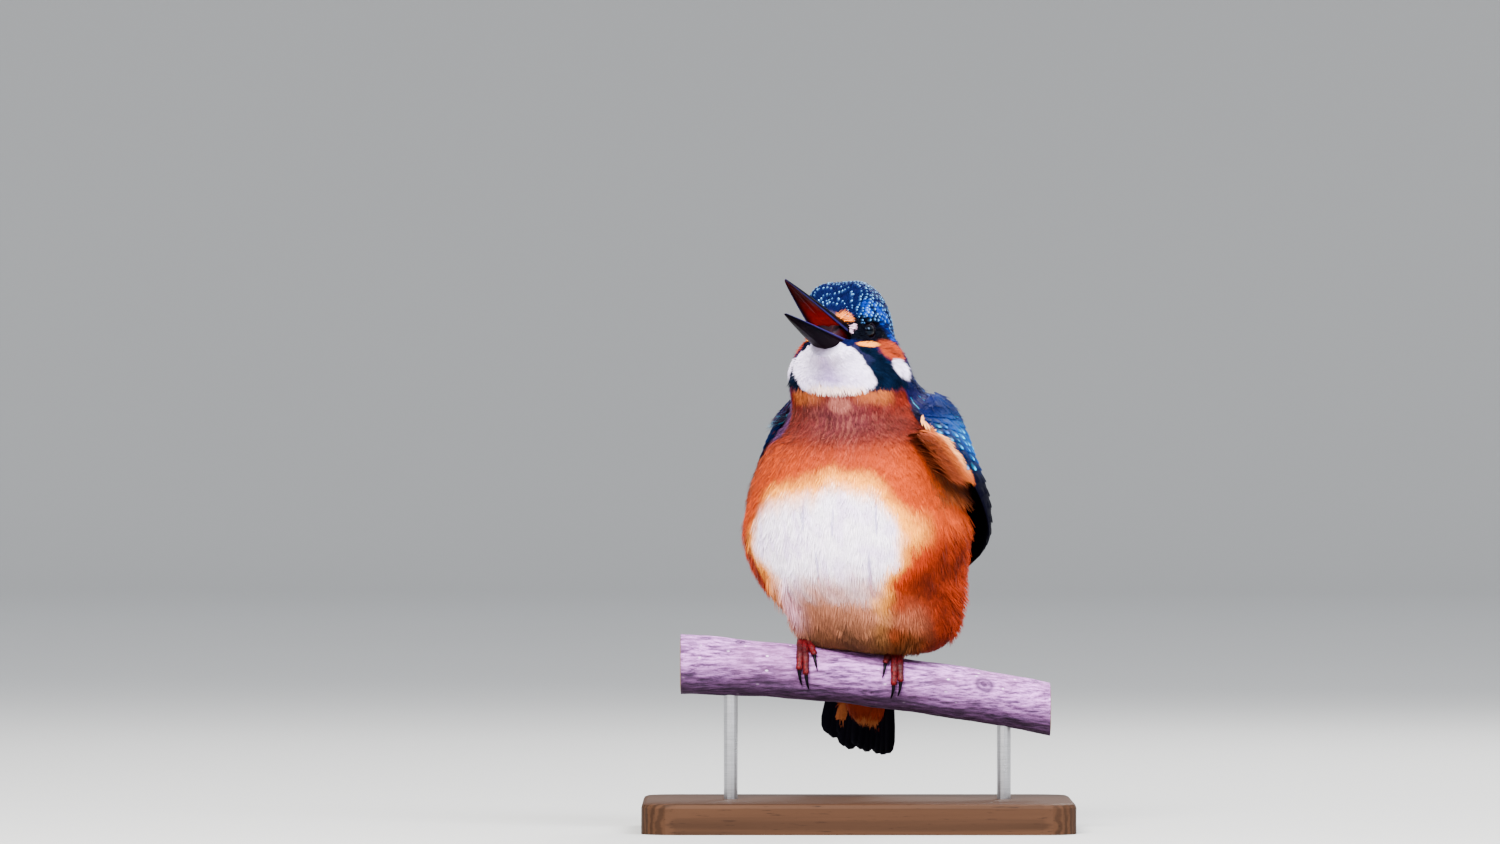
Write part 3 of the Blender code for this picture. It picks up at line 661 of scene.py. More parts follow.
def marking(along, angle):
    """Colour and gloss of the plumage at path parameters and angles: fields laid over each other."""
    along = np.clip(along, 0.0, PATH_END)
    place = on_form(along, angle)[0]
    forward, _, up = np.moveaxis(in_head(place), -1, 0)
    signed = signed_degrees(angle)
    wide, right = np.abs(signed), signed < 0
    patch, fine = grain(place, 5.0, 1), grain(place, 1.6, 2)

    # back: mantle with an azure stripe down to the tail
    colour = mix(NAVY, MANTLE, smooth_step(3.3, 4.2, along))
    stripe = smooth_step(3.6, 4.6, along) * fall_off(15.0, 27.0, 180.0 - wide - 3 * fine)
    rump = smooth_step(8.2, 8.9, along) * smooth_step(112, 128, wide)
    colour = mix(colour, AZURE, np.maximum(stripe, rump))
    colour = mix(colour, TURQUOISE, 0.45 * stripe * smooth_step(0.0, 0.6, fine))

    # shoulders, breast and flanks
    edge_wide = np.where(right, edge(ORANGE_RIGHT, along), edge(ORANGE_LEFT, along))
    orange = smooth_step(-3.0, 3.0, edge_wide - wide + 2 * fine)
    orange = orange * smooth_step(3.55, 3.85, along + 0.03 * fine)
    fade = np.where(right, fall_off(76, 90, wide), fall_off(84, 104, wide))
    shoulder = (1 - orange) * smooth_step(3.5, 3.8, along) * fade
    colour = mix(colour, np.where(right[..., None], SCAPULAR_RIGHT, SCAPULAR), shoulder)
    colour = mix(colour, trunk_colour(along, signed, place, patch, fine), orange)
    gloss = 0.75 * (1.0 - 0.85 * orange)

    # sides of the head, from the throat up
    head = fall_off(3.3, 3.6, along)
    bib_edge = edge(BIB_EDGE, along) + np.where(right, edge(BIB_FAR_SHIFT, along), 0.0)
    malar = smooth_step(-2.0, 2.0, wide - bib_edge) * smooth_step(-3.0, 3.0, edge(MALAR_TOP, along) - wide)
    malar = malar * fall_off(3.62, 3.78, along + 0.04 * fine)
    shade = TEAL * (1.0 + 0.35 * fine[..., None])
    shade = mix(shade, tint(44, 37, 72), 0.5 * fall_off(0.6, 1.6, along) * smooth_step(0.0, 0.5, fine))
    colour = mix(colour, shade, malar)
    bib = smooth_step(-1.5, 1.5, bib_edge - wide) * fall_off(3.88, 4.0, along + 0.05 * fine)
    # grey-violet in the middle and lower bib, under the bill: painted shade
    lilac = mix(BIB, BIB_PAINTED_SHADE, 0.8 * cloud(along, signed, (1.7, -2.0), (1.6, 21.0)))
    lilac = mix(lilac, BIB_PAINTED_SHADE, 0.3 * cloud(along, signed, (0.6, 1.0), (0.7, 9.0)))
    lilac = mix(lilac, CREAM, 0.8 * smooth_step(3.2, 3.7, along) * fall_off(16.0, 30.0, wide))
    colour = mix(colour, lilac, bib)
    gloss = gloss * (1.0 - 0.8 * bib)

    # lores, eye patch and the band over it
    side = smooth_step(60, 72, wide) * fall_off(150, 165, wide)
    dark = np.maximum.reduce([
        oval(forward, up, (5.5, -1.6), (8.5, 3.4), -8),
        oval(forward, up, (0.6, -0.4), (6.4, 3.4), 8),
        oval(forward, up, (12.4, 1.6), (3.0, 2.0), 18),
    ])
    band = oval(forward, up, (-0.6, 1.4), (8.6, 5.4), 12) * fall_off(3.5, 7.0, forward)
    band = band * smooth_step(84, 92, wide) * head
    colour = mix(colour, AZURE, 0.8 * band * smooth_step(-0.6, 0.25, fine))
    colour = mix(colour, BLACK, dark * side * fall_off(1.7, 2.1, along))

    # ear coverts, the streak before them, and the white patch on the neck
    lateral = wide / 30.0 - 0.30 * right        # further back on the right side
    ear = oval(along, lateral, (1.76, 2.68), (0.56, 0.52), -20)
    colour = mix(colour, RUST * (1.0 + 0.12 * patch[..., None]), ear)
    streak = oval(along, lateral, (0.90, 2.48), (0.40, 0.15), 36)
    colour = mix(colour, STREAK, streak)
    colour = mix(colour, BIB, oval(along, wide / 30.0, (2.62, 2.28), (0.62, 0.31), 4))
    for middle, radii, shade in (((9.6, 0.7), (2.1, 1.3), LORAL), ((7.3, -2.1), (0.8, 1.5), PINK)):
        spot = oval(forward, up, middle, radii, 18) * side
        colour = mix(colour, shade, spot)
        gloss = gloss * (1.0 - 0.8 * spot)
    gloss = gloss * (1.0 - 0.8 * np.maximum(ear, streak))
    return painted(np.clip(colour, 0.0, 1.0), gloss)


# ---------------------------------------------------------------- feathers

BARB_SECTION = np.array([(1.0, 0.0), (0.0, 1.0), (-1.0, 0.0)])
BARB_STATIONS = np.array([0.0, 0.55, 1.0])
BARB_WIDTHS = np.array([0.8, 1.0])
BARB_THICK = 0.03
BARB_ROLL = 0.15                    # radians, the spread of the barbs' roll about their own length
BARB_SUNK = 0.12                    # how far roots start below the skin
FEATHER_CLEAR = 0.1                 # of the bark
SKIN_CLEAR = 0.3
VANE_SECTION = np.array([(1, 0), (0.45, 0.9), (0, 1.3), (-0.45, 0.9), (-1, 0), (0, -0.8)], float)
VANE_STATIONS = np.array([0.0, 0.35, 0.7, 0.9, 1.0])
VANE_WIDTHS = np.array([0.5, 0.95, 0.95, 0.62])
THRIFT = 1     # fewer feathers while other pieces are made


def tangents(normal, slope):
    """The lie of the plumage and the direction to its side, both along the surface."""
    lie = unit(slope - normal * np.sum(normal * slope, -1, keepdims=True))
    return lie, np.cross(normal, lie)


def moved(first, second, slopes, offset):
    """Two parameters after a small move over the surface: the offset solved for the two slopes."""
    one, two = slopes
    dot = lambda left, right: np.sum(left * right, -1)
    square_one, cross, square_two = dot(one, one), dot(one, two), dot(two, two)
    on_one, on_two = dot(offset, one), dot(offset, two)
    area = square_one * square_two - cross * cross + 1e-9
    limited = lambda step: np.clip(step / area, -1.2, 1.2)
    return (
        first + limited(on_one * square_two - on_two * cross),
        second + limited(on_two * square_one - on_one * cross),
    )


def off_branch(points, gap):
    """Points of the bird kept at least gap from the bark, pushed straight away from the branch's axis."""
    world = to_world(points)
    x, y, z = np.moveaxis(world, -1, 0)
    away = np.stack([np.zeros_like(x), y, z - branch_centre(x)], -1)
    short = np.maximum(branch_radius(x) + gap - np.linalg.norm(away, axis=-1), 0.0)
    return to_bird(world + unit(away) * short[..., None])


def follow(ground, first, second, length, sway, stations):
    """Places, normals and directions along plumes laid over a ground, and their last parameters.

    Each plume steps over the ground from station to station, turned by sway from the lie.
    """
    found = []
    for index, station in enumerate(stations):
        place, normal, *slopes = ground(first, second)
        lie, side = tangents(normal, slopes[0])
        turn = sway * (0.6 + 0.4 * station)
        heading = lie * np.cos(turn)[..., None] + side * np.sin(turn)[..., None]
        found.append((place, normal, heading))
        if index + 1 < len(stations):
            step = (length * (stations[index + 1] - station))[..., None]
            first, second = moved(first, second, slopes, heading * step)
    return [np.stack(part, 1) for part in zip(*found)] + [first, second]


def plumes(path, depth, rise, width, thick, section, widths, stations, camber=0.0, roll=None, ease=1.6):
    """Rings (plume, station, corner) and tips of closed plumes: a section carried along each path.

    The height over the ground is -depth(1 - t)^ease + rise t^2, and the sides droop by camber y^2.
    """
    places, normals, headings = path
    height = -depth[:, None] * (1 - stations) ** ease + rise[:, None] * stations**2
    spine = off_branch(places + normals * height[..., None], FEATHER_CLEAR)
    side = np.cross(normals, headings)
    if roll is not None:
        cosine, sine = np.cos(roll)[:, None, None], np.sin(roll)[:, None, None]
        side, normals = side * cosine + normals * sine, normals * cosine - side * sine
    half = (width[:, None] / 2 * widths)[:, :, None]
    across = half * section[:, 0]
    over = thick * section[:, 1] * np.clip(widths * 1.5, 0, 1)[None, :, None]
    over = over - camber * half * section[:, 0] ** 2
    rings = (
        spine[:, :-1, None]
        + side[:, :-1, None] * across[..., None]
        + normals[:, :-1, None] * over[..., None]
    )
    return rings, spine[:, -1]


def plume_arrays(rings, tips, shades, tip_shades, roots, section, stations):
    """Points, paint and places on the unwrap of plumes, flattened, with their faces.

    On the unwrap a plume is a patch 0.003 across at its root's place.
    """
    count, steps, corners = rings.shape[:3]
    points = np.concatenate([rings.reshape(count, -1, 3), tips[:, None]], 1)
    paint = np.concatenate([shades.reshape(count, -1, 4), tip_shades[:, None]], 1)
    spot = np.stack(np.broadcast_arrays(section[None, :, 0], stations[:-1, None] * 2 - 1), -1)
    patch = np.concatenate([spot.reshape(-1, 2), [[0.0, 1.0]]]) * 0.0015
    uv = roots[:, None] + patch
    size = steps * corners + 1
    here, last = np.arange(corners), (steps - 1) * corners
    fan = np.stack([np.full(corners, size - 1), last + here, last + (here + 1) % corners], -1)
    cap = here[::-1][None]
    start = np.arange(count)[:, None, None] * size
    parts = (ring_quads(steps, corners), fan, cap)
    faces = [(start + part[None]).reshape(-1, part.shape[1]) for part in parts]
    if corners == 3:
        faces = [faces[0], np.concatenate(faces[1:])]
    sides = np.tile(np.append(np.tile(np.abs(section[:, 0]) == 1.0, steps), True), count)
    return points.reshape(-1, 3), faces, uv.reshape(-1, 2), paint.reshape(-1, 4), sides


def add_coat(name, finish, slot, *batches, replaced=()):
    """One piece of coat from batches of plume arrays, placed in the world."""
    points, _, *values = zip(*batches)
    uv, paint, sides = (np.concatenate(value) for value in values)
    points = to_world(np.concatenate(points))
    make_piece(name, points, joined_faces(batches), finish, replaced, uv=uv, paint=paint, sides=sides)


def scattered(count, along, degrees, seed):
    """Roots spread evenly over the area of part of the form."""
    rows = slice(*(int(a * (FORM_ROWS - 1) / PATH_STEPS) for a in along))
    low, high = (int(d * FORM_COLUMNS / 360.0) for d in degrees)
    columns = np.arange(low, high) % FORM_COLUMNS
    cells = FORM[rows][:, columns]
    area = np.linalg.norm(np.cross(cells[..., 6:9], cells[..., 9:]), axis=-1)
    step_row, step_column = PATH_STEPS / (FORM_ROWS - 1), 2 * np.pi / FORM_COLUMNS
    row = (np.arange(FORM_ROWS)[rows] * step_row)[:, None] + 0 * columns
    column = columns * step_column + 0 * row
    chance = np.random.default_rng(seed)
    total = np.cumsum(area.ravel())
    count = max(int(count / THRIFT), 8)
    picks = np.searchsorted(total, (np.arange(count) + chance.uniform(0, 1, count)) / count * total[-1])
    picks = np.clip(picks, 0, len(total) - 1)
    jitter = chance.uniform(-0.5, 0.5, (2, count))
    return row.ravel()[picks] + jitter[0] * step_row, column.ravel()[picks] + jitter[1] * step_column


def unwrapped(along, angle):
    """The place on the skin's unwrap of path parameters and angles."""
    return np.stack([np.mod(angle, 2 * np.pi) / (2 * np.pi), along / PATH_STEPS], -1)


DEPTH_UNDER = (                     # of the skin: path parameter, and millimetres
    (0, 0.45), (0.8, 0.55), (1.5, 0.8), (3, 1.1), (4.5, 1.7), (6, 2.4), (8.5, 2.4), (9.5, 1.4), (11, 0.9),
)
DEPTH_OVER = ((0, 0.4), (1, 0.6), (3, 0.8), (5, 1.2), (9, 1.3), (11, 0.9))


def skin_depth(along, angle):
    """How far the skin lies under the plumage: least on the face, most on the belly."""
    under, over = edge(DEPTH_UNDER, along), edge(DEPTH_OVER, along)
    return over + (under - over) * (0.5 + 0.5 * np.cos(angle)) ** 0.8


def tufts(
    roots, seed, length, width, barbs, fan, spread, rise=0.0, sway=0.0, jitter=0.12, root_painted_shade=0.86,
    vary=0.05, loose=0.07, colours=marking, ground=on_form, depth=skin_depth, uv=unwrapped,
):
    """Plume arrays of soft feathers, each a fan of barbs on one root, coloured by where their tips lie.

    fan is the turn of the outermost barbs, spread how far their roots lie apart, rise the height of the tips
    over the ground, sway and jitter a turn of the whole feather, vary the unevenness of the colour, and loose
    the share of feathers that stand out a little.
    """
    along, angle = roots
    count = len(along)
    chance = np.random.default_rng(seed)
    spot = np.linspace(-1.0, 1.0, barbs)[None, :] + chance.uniform(-0.12, 0.12, (count, barbs))
    length = np.broadcast_to(length, (count,))[:, None] * (1.0 - 0.20 * spot**2)
    length = length * chance.uniform(0.85, 1.1, (count, barbs)) * chance.uniform(0.85, 1.12, (count, 1))
    turn = np.broadcast_to(sway, (count,))[:, None] + chance.normal(0, jitter, (count, 1)) - fan * spot
    turn = turn + chance.normal(0, jitter * 0.4, (count, barbs))
    _, normal, *slopes = ground(along, angle)
    lie, side = tangents(normal, slopes[0])
    offset = -side[:, None] * (0.30 * spread * spot)[..., None]
    offset = offset + lie[:, None] * chance.uniform(-0.3, 0.3, (count, barbs))[..., None] * spread
    slopes = [np.broadcast_to(slope[:, None], offset.shape) for slope in slopes]
    first, second = moved(along[:, None], angle[:, None], slopes, offset)
    flat = lambda values: np.broadcast_to(values, (count, barbs)).reshape(-1)
    first, second, length, turn = flat(first), flat(second), flat(length), flat(turn)
    *path, last_first, last_second = follow(ground, first, second, length, turn, BARB_STATIONS)
    stand = np.abs(chance.normal(0, 0.06, (count, 1))) + 0.55 * (chance.random((count, 1)) < loose)
    rise = flat(np.broadcast_to(rise, (count,))[:, None] + stand + chance.normal(0, 0.05, (count, barbs)))
    width = flat(np.broadcast_to(width, (count,))[:, None]) * chance.uniform(0.8, 1.2, count * barbs)
    rings, tips = plumes(
        path, depth(first, second) + BARB_SUNK, rise, width * np.sqrt(THRIFT), BARB_THICK, BARB_SECTION,
        BARB_WIDTHS, BARB_STATIONS, roll=chance.normal(0, BARB_ROLL, count * barbs) - 0.25 * flat(spot),
    )
    shade = colours(last_first, last_second)
    tone = flat(chance.normal(1.0, vary, (count, 1)) + chance.normal(0, vary * 0.5, (count, barbs)))
    shade[:, :3] = np.clip(shade[:, :3] * tone[:, None], 0, 1)
    # each barb darkens towards its root: painted shade down among the feathers
    dim = (root_painted_shade + (1.04 - root_painted_shade) * BARB_STATIONS[:-1])[None, :, None, None]
    shades = np.broadcast_to(shade[:, None, None], (len(shade), len(BARB_WIDTHS), 3, 4)).copy()
    shades[..., :3] *= dim
    spots = np.repeat(uv(along, angle), barbs, 0)
    return plume_arrays(rings, tips, shades, shade, spots, BARB_SECTION, BARB_STATIONS)


def vanes(
    ground, roots, seed, length, width, paint, uv, depth=0.5, rise=0.0, sway=0.0, jitter=0.05, thick=0.06,
    camber=0.12, stations=VANE_STATIONS, widths=VANE_WIDTHS, ease=1.6,
):
    """Plume arrays of firm feathers, each one cambered vane with a raised shaft.

    paint gives colours (plume, station, corner) and tip colours from the vanes' last parameters, the stations
    and corners of their rings, and a source of random draws.
    """
    first, second = roots
    count = len(first)
    chance = np.random.default_rng(seed)
    spread = lambda value: np.broadcast_to(value, (count,)).astype(float)
    length = spread(length) * chance.uniform(0.94, 1.06, count)
    turn = spread(sway) + chance.normal(0, jitter, count)
    *path, last_first, last_second = follow(ground, first, second, length, turn, stations)
    rings, tips = plumes(
        path, spread(depth), spread(rise), spread(width), thick, VANE_SECTION, widths, stations, camber,
        ease=ease,
    )
    shades, tip_shades = paint(last_first, last_second, stations[:-1], VANE_SECTION[:, 0], chance)
    return plume_arrays(rings, tips, shades, tip_shades, uv, VANE_SECTION, stations)


# ---------------------------------------------------------------- finishes


def plumage_finish(name, rough, glint=0.08, glint_colour=(1.0, 0.95, 0.9), sheen=0.0, streak=1.0):
    """Feather: the painted colour, broken by fine barbs, softer where the gloss is low."""
    finish = Finish(
        name, Sheen_Weight=sheen, Sheen_Roughness=0.4, Specular_IOR_Level=glint,
        Specular_Tint=(*glint_colour, 1.0),
    )
    fine = finish.noise(2600.0, 2.0)
    broad = finish.noise(420.0, 2.0)
    tone = fine.between(0.30, 0.72) * (0.12 * streak) + broad.between(0.3, 0.7) * 0.10
    tone = tone + (0.90 - 0.06 * streak)
    finish.feed(
        Base_Color=finish.toned(tone),
        Roughness=rough - finish.paint(3) * 0.28 + fine * 0.08,
        Normal=finish.bump(fine, 0.05, 0.35),
    )
    return finish.material


def skin_finish():
    """Skin under the plumage in the plumage's own colours, darkened as painted shade between the feathers,
    and finely pimpled.
    """
    finish = Finish("skin", Roughness=0.85, Specular_IOR_Level=0.02)
    fine = finish.noise(1500.0, 3.0)
    # the tone stays below 1: painted shade between the feathers, made uneven by the pimpling
    tone = fine.between(0.3, 0.7) * 0.2 + 0.75
    finish.feed(
        Base_Color=finish.toned(tone),
        Normal=finish.bump(fine, 0.12, 0.5),
    )
    return finish.material


def horn_finish(name, rough, coat):
    """Horn in its painted colour, with fine lengthwise growth lines and a dry bloom here and there."""
    finish = Finish(
        name, Coat_Weight=coat, Coat_Roughness=0.3, Specular_IOR_Level=0.006,
        Specular_Tint=(0.6, 0.5, 1.0, 1.0),
    )
    lines = finish.noise(1.0, 4.0, 0.6, finish.place((900.0, 160.0, 1500.0), (0.0, 0.35, 0.34)))
    bloom = finish.noise(300.0, 3.0)
    tone = lines.between(0.25, 0.75) * 0.35 + bloom.between(0.4, 0.75) * 0.25 + 0.72
    finish.feed(
        Base_Color=finish.toned(tone),
        Roughness=bloom * 0.16 + lines * 0.12 + (rough - 0.12),
        Normal=finish.bump(lines, 0.10, 0.4),
    )
    return finish.material


def eye_finish():
    """Wet eye: nearly black, with a faint brown iris."""
    finish = Finish("eye_wet", Roughness=0.06, Specular_IOR_Level=0.18, Specular_Tint=(0.35, 0.6, 1.0, 1.0))
    fibres = finish.noise(3800.0, 2.0)
    finish.feed(Base_Color=finish.toned(fibres.between(0.2, 0.8) * 0.4 + 0.7))
    return finish.material


def foot_finish():
    """Red skin in small scutes, with painted shade darkening the creases between them."""
    finish = Finish("foot_scutes", Coat_Weight=0.02, Coat_Roughness=0.35, Specular_IOR_Level=0.12)
    scutes = finish.node("ShaderNodeTexVoronoi", {"feature": "DISTANCE_TO_EDGE"}, {
        "Vector": finish.place((1.0, 1.0, 0.55)), "Scale": 1500.0,
    })
    crease = scutes.between(0.0, 0.16)
    patch = finish.noise(500.0, 3.0)
    # the creases between the scutes are painted dark red: painted shade
    colour = finish.blend(crease, tint(34, 2, 5), finish.paint())
    colour = finish.blend(patch.between(0.5, 0.8) * 0.12, colour, tint(104, 12, 20))
    finish.feed(Base_Color=colour, Roughness=patch * 0.2 + 0.38, Normal=finish.bump(crease, 0.08, 0.6))
    return finish.material


def bark_finish():
    """Bark: lilac-grey with long fine furrows, tiny pale lenticels, a few brown scars, and painted shade that
    darkens it below.
    """
    finish = Finish("bark", Specular_IOR_Level=0.2)
    strands = finish.noise(1.0, 7.0, 0.68, finish.place((230.0, 1300.0, 1300.0), (0.0, 0.12, 0.0)))
    furrows = finish.noise(1.0, 5.0, 0.6, finish.place((90.0, 520.0, 520.0), (0.0, 0.12, 0.0)))
    broad = finish.noise(70.0, 4.0, 0.6)
    fine = finish.noise(2600.0, 3.0)
    cells = finish.node("ShaderNodeTexVoronoi", {"feature": "F1"}, {
        "Vector": finish.place((0.6, 1.0, 1.0)), "Scale": 430.0, "Randomness": 1.0,
    })
    dots = (1.0 - cells.between(0.06, 0.15)) * broad.between(0.44, 0.60)
    colour = finish.blend(strands.between(0.34, 0.66), tint(60, 34, 68), tint(204, 132, 214))
    for share, shade in (
        ((1.0 - furrows.between(0.34, 0.50)) * 0.75, tint(52, 30, 58)),
        (broad.between(0.42, 0.70) * 0.5, tint(128, 78, 126)),
        (fine.between(0.55, 0.75) * 0.4, tint(48, 30, 48)),
        (dots * 0.8, tint(236, 205, 238)),
    ):
        colour = finish.blend(share, colour, shade)
    # the branch's paint brings in the dark scars and the painted shade on the branch's underside
    colour = finish.blend(finish.paint(3), colour, finish.paint())
    relief = strands * 0.7 + furrows * 0.6 + fine * 0.25 + dots * 0.15
    finish.feed(Base_Color=colour, Roughness=0.94 - strands * 0.15, Normal=finish.bump(relief, 0.6, 0.8))
    return finish.material


def wood_finish():
    """Oiled walnut, with long grain along X and small pores."""
    finish = Finish("walnut", Specular_IOR_Level=0.05)
    warp = finish.noise(14.0, 2.0, 0.5, finish.place((1.0, 6.0, 6.0)))
    rings = finish.node("ShaderNodeTexWave", {"bands_direction": "Y", "wave_profile": "SIN"}, {
        "Vector": finish.place((4.0, 210.0, 210.0)), "Scale": 1.0, "Distortion": 6.0, "Detail": 4.0,
        "Detail Scale": 1.2,
    }, output=1)
    pores = finish.noise(1.0, 3.0, 0.6, finish.place((160.0, 2600.0, 2600.0)))
    colour = finish.blend(rings.between(0.1, 0.9), tint(44, 28, 18), tint(60, 39, 26))
    colour = finish.blend(warp.between(0.35, 0.7) * 0.5, colour, tint(53, 34, 23))
    colour = finish.blend(pores.between(0.60, 0.70) * 0.7, colour, tint(22, 13, 9))
    finish.feed(Base_Color=colour, Roughness=pores * 0.15 + 0.52, Normal=finish.bump(pores, 0.05, 0.4))
    return finish.material


def steel_finish():
    """Brushed steel rod: fine rings round it."""
    finish = Finish("steel", Metallic=1.0)
    brush = finish.noise(1.0, 3.0, 0.6, finish.place((220.0, 220.0, 5200.0)))
    smears = finish.noise(140.0, 2.0)
    colour = finish.blend(brush, tint(150, 150, 154), tint(206, 206, 210))
    finish.feed(
        Base_Color=colour,
        Roughness=smears * 0.16 + brush * 0.1 + 0.18,
        Normal=finish.bump(brush, 0.02, 0.3),
    )
    return finish.material


def paper_finish():
    """The studio's matt paper, faintly uneven."""
    finish = Finish("studio_paper")
    uneven = finish.noise(3.0, 3.0)
    grey = tint(168, 167, 164)
    finish.feed(Base_Color=finish.blend(uneven, grey * 0.98, grey * 1.02), Roughness=uneven * 0.1 + 0.85)
    return finish.material


SKIN = skin_finish()
CROWN_COAT = plumage_finish("plumage_crown", 0.78, glint=0.04, glint_colour=(0.10, 0.36, 1.0))
NECK_COAT = plumage_finish("plumage_neck", 0.80, glint=0.03, glint_colour=(0.3, 0.6, 1.0))
BODY_COAT = plumage_finish("plumage_body", 0.85, sheen=0.06, streak=0.7)
WING_COAT = plumage_finish("plumage_wing", 0.78, glint=0.02, glint_colour=(0.10, 0.36, 1.0))
TAIL_COAT = plumage_finish("plumage_tail", 0.66, glint=0.05, glint_colour=(0.3, 0.3, 1.0))
HORN = horn_finish("bill_horn", 0.42, 0.0)
CLAW = horn_finish("claw_horn", 0.36, 0.1)
LID = horn_finish("eyelid", 0.55, 0.1)
EYE = eye_finish()
FOOT = foot_finish()
BARK = bark_finish()
WALNUT = wood_finish()
STEEL = steel_finish()


# ---------------------------------------------------------------- skin, mouth and eyes

GAPE = (2.6, 5.3, -3.7)
BILL_TIP = (45.2, -1.5)
UPPER_DEPTH = 4.8
LOWER_DEPTH = 3.5
BILL_PARTING = 0.1
BILL_HOLLOW = 0.32                  # of the inner side, as a share of the depth
BILL_RINGS, BILL_AROUND = 64, 64
JAW_HINGE = (-3.0, -4.0)
GAPE_ANGLE = np.radians(10.0)
EYE_AT = np.array([0.0, 6.15, -0.4])
EYE_RADIUS = 2.8
EYE_FACING = np.array([0.60, 0.80, -0.12])
LID_OPENING = (np.radians(60.0), np.radians(44.0))
LID_REACH = 1.34                # radians from the eye's facing
SKIN_ROWS, SKIN_COLUMNS = 300, 240
MOUTH_RED = tint(120, 12, 8)


def jaw_lines(forward):
    """Heights of the cutting edges of the upper and the lower half of the bill, in the head's frame."""
    upper = GAPE[2] + (BILL_TIP[1] - GAPE[2]) / (BILL_TIP[0] - GAPE[0]) * (forward - GAPE[0])
    return upper, upper - np.tan(GAPE_ANGLE) * (forward - JAW_HINGE[0]) + 0.1


def eye_frame(sign):
    """An eyeball's centre, and the directions that it faces, across it and up it, in the head's frame."""
    facing = unit(EYE_FACING * (1.0, sign, 1.0))
    across = unit(np.cross((0.0, 0.0, 1.0), facing))
    return EYE_AT * (1.0, sign, 1.0), facing, across, np.cross(facing, across)


def add_skin():
    """One skin over head, neck and trunk: the form, sunk by the plumage's depth.

    The mouth is pressed in behind the gape, between the cutting edges, and the skin dips under each eye.
    """
    along = np.linspace(0.0, PATH_END, SKIN_ROWS)[:, None] + np.zeros((1, SKIN_COLUMNS))
    angle = full_turn(SKIN_COLUMNS)[None, :] + 0 * along
    place, normal, *_ = on_form(along, angle)
    local = in_head(place - normal * skin_depth(along, angle)[..., None])
    forward, left, up = np.moveaxis(local, -1, 0)
    top, foot = jaw_lines(forward)
    top, foot = top + 0.15, foot - 0.15
    before = smooth_step(GAPE[0] - 0.2, GAPE[0] + 1.4, forward) * (along < 3.0)
    gap = np.minimum(top - up, up - foot)
    mouth = before * smooth_step(0.0, 0.5, gap)
    forward = np.where(mouth > 0, forward + (GAPE[0] + 0.6 - forward) * mouth, forward)
    left = left * (1.0 - 0.25 * mouth)
    local = np.stack([forward, left, up], -1)
    for sign in SIDES.values():
        centre, facing, *_ = eye_frame(sign)
        offset = local - centre
        axial = np.sum(offset * facing, -1, keepdims=True)
        radial = np.linalg.norm(offset - axial * facing, axis=-1)
        near = fall_off(2.1, 3.3, radial) * (axial[..., 0] > 0)
        floor = np.sqrt(np.clip(EYE_RADIUS**2 - np.minimum(radial, 2.6) ** 2, 0, None)) - 0.25
        sunk = np.minimum(axial[..., 0], floor)
        local = local + ((sunk - axial[..., 0]) * near)[..., None] * facing
    points = off_branch(from_head(local), SKIN_CLEAR)
    rings, faces = sleeve(points)
    paint = marking(along, angle)
    lining = mix(MOUTH_RED, tint(10, 3, 5), smooth_step(2.6, 4.2, np.abs(local[..., 1])))
    # the plumage's colours are darkened on the skin: painted shade in the gaps between the feathers
    paint[..., :3] = mix(paint[..., :3] * 0.8, lining, smooth_step(0.0, 0.2, mouth))
    row, column = np.divmod(faces[0], SKIN_COLUMNS)
    column = np.where((column == 0) & (column[:, :1] > 0), SKIN_COLUMNS, column)
    quad_uv = np.stack([column / SKIN_COLUMNS, row / (SKIN_ROWS - 1.0)], -1)
    ends = np.repeat([0.0, 1.0], SKIN_COLUMNS)[:, None] + np.zeros((1, 3))
    around = np.tile(np.arange(SKIN_COLUMNS) + 0.5, 2)[:, None] / SKIN_COLUMNS + np.zeros((1, 3))
    fan_uv = np.stack([around, ends], -1)
    make_piece(
        "skin", to_world(rings), faces, SKIN, ("head", "neck", "trunk"),
        paint=with_ends(paint),
        corner_uv=np.concatenate([quad_uv.reshape(-1, 2), fan_uv.reshape(-1, 2)]),
    )


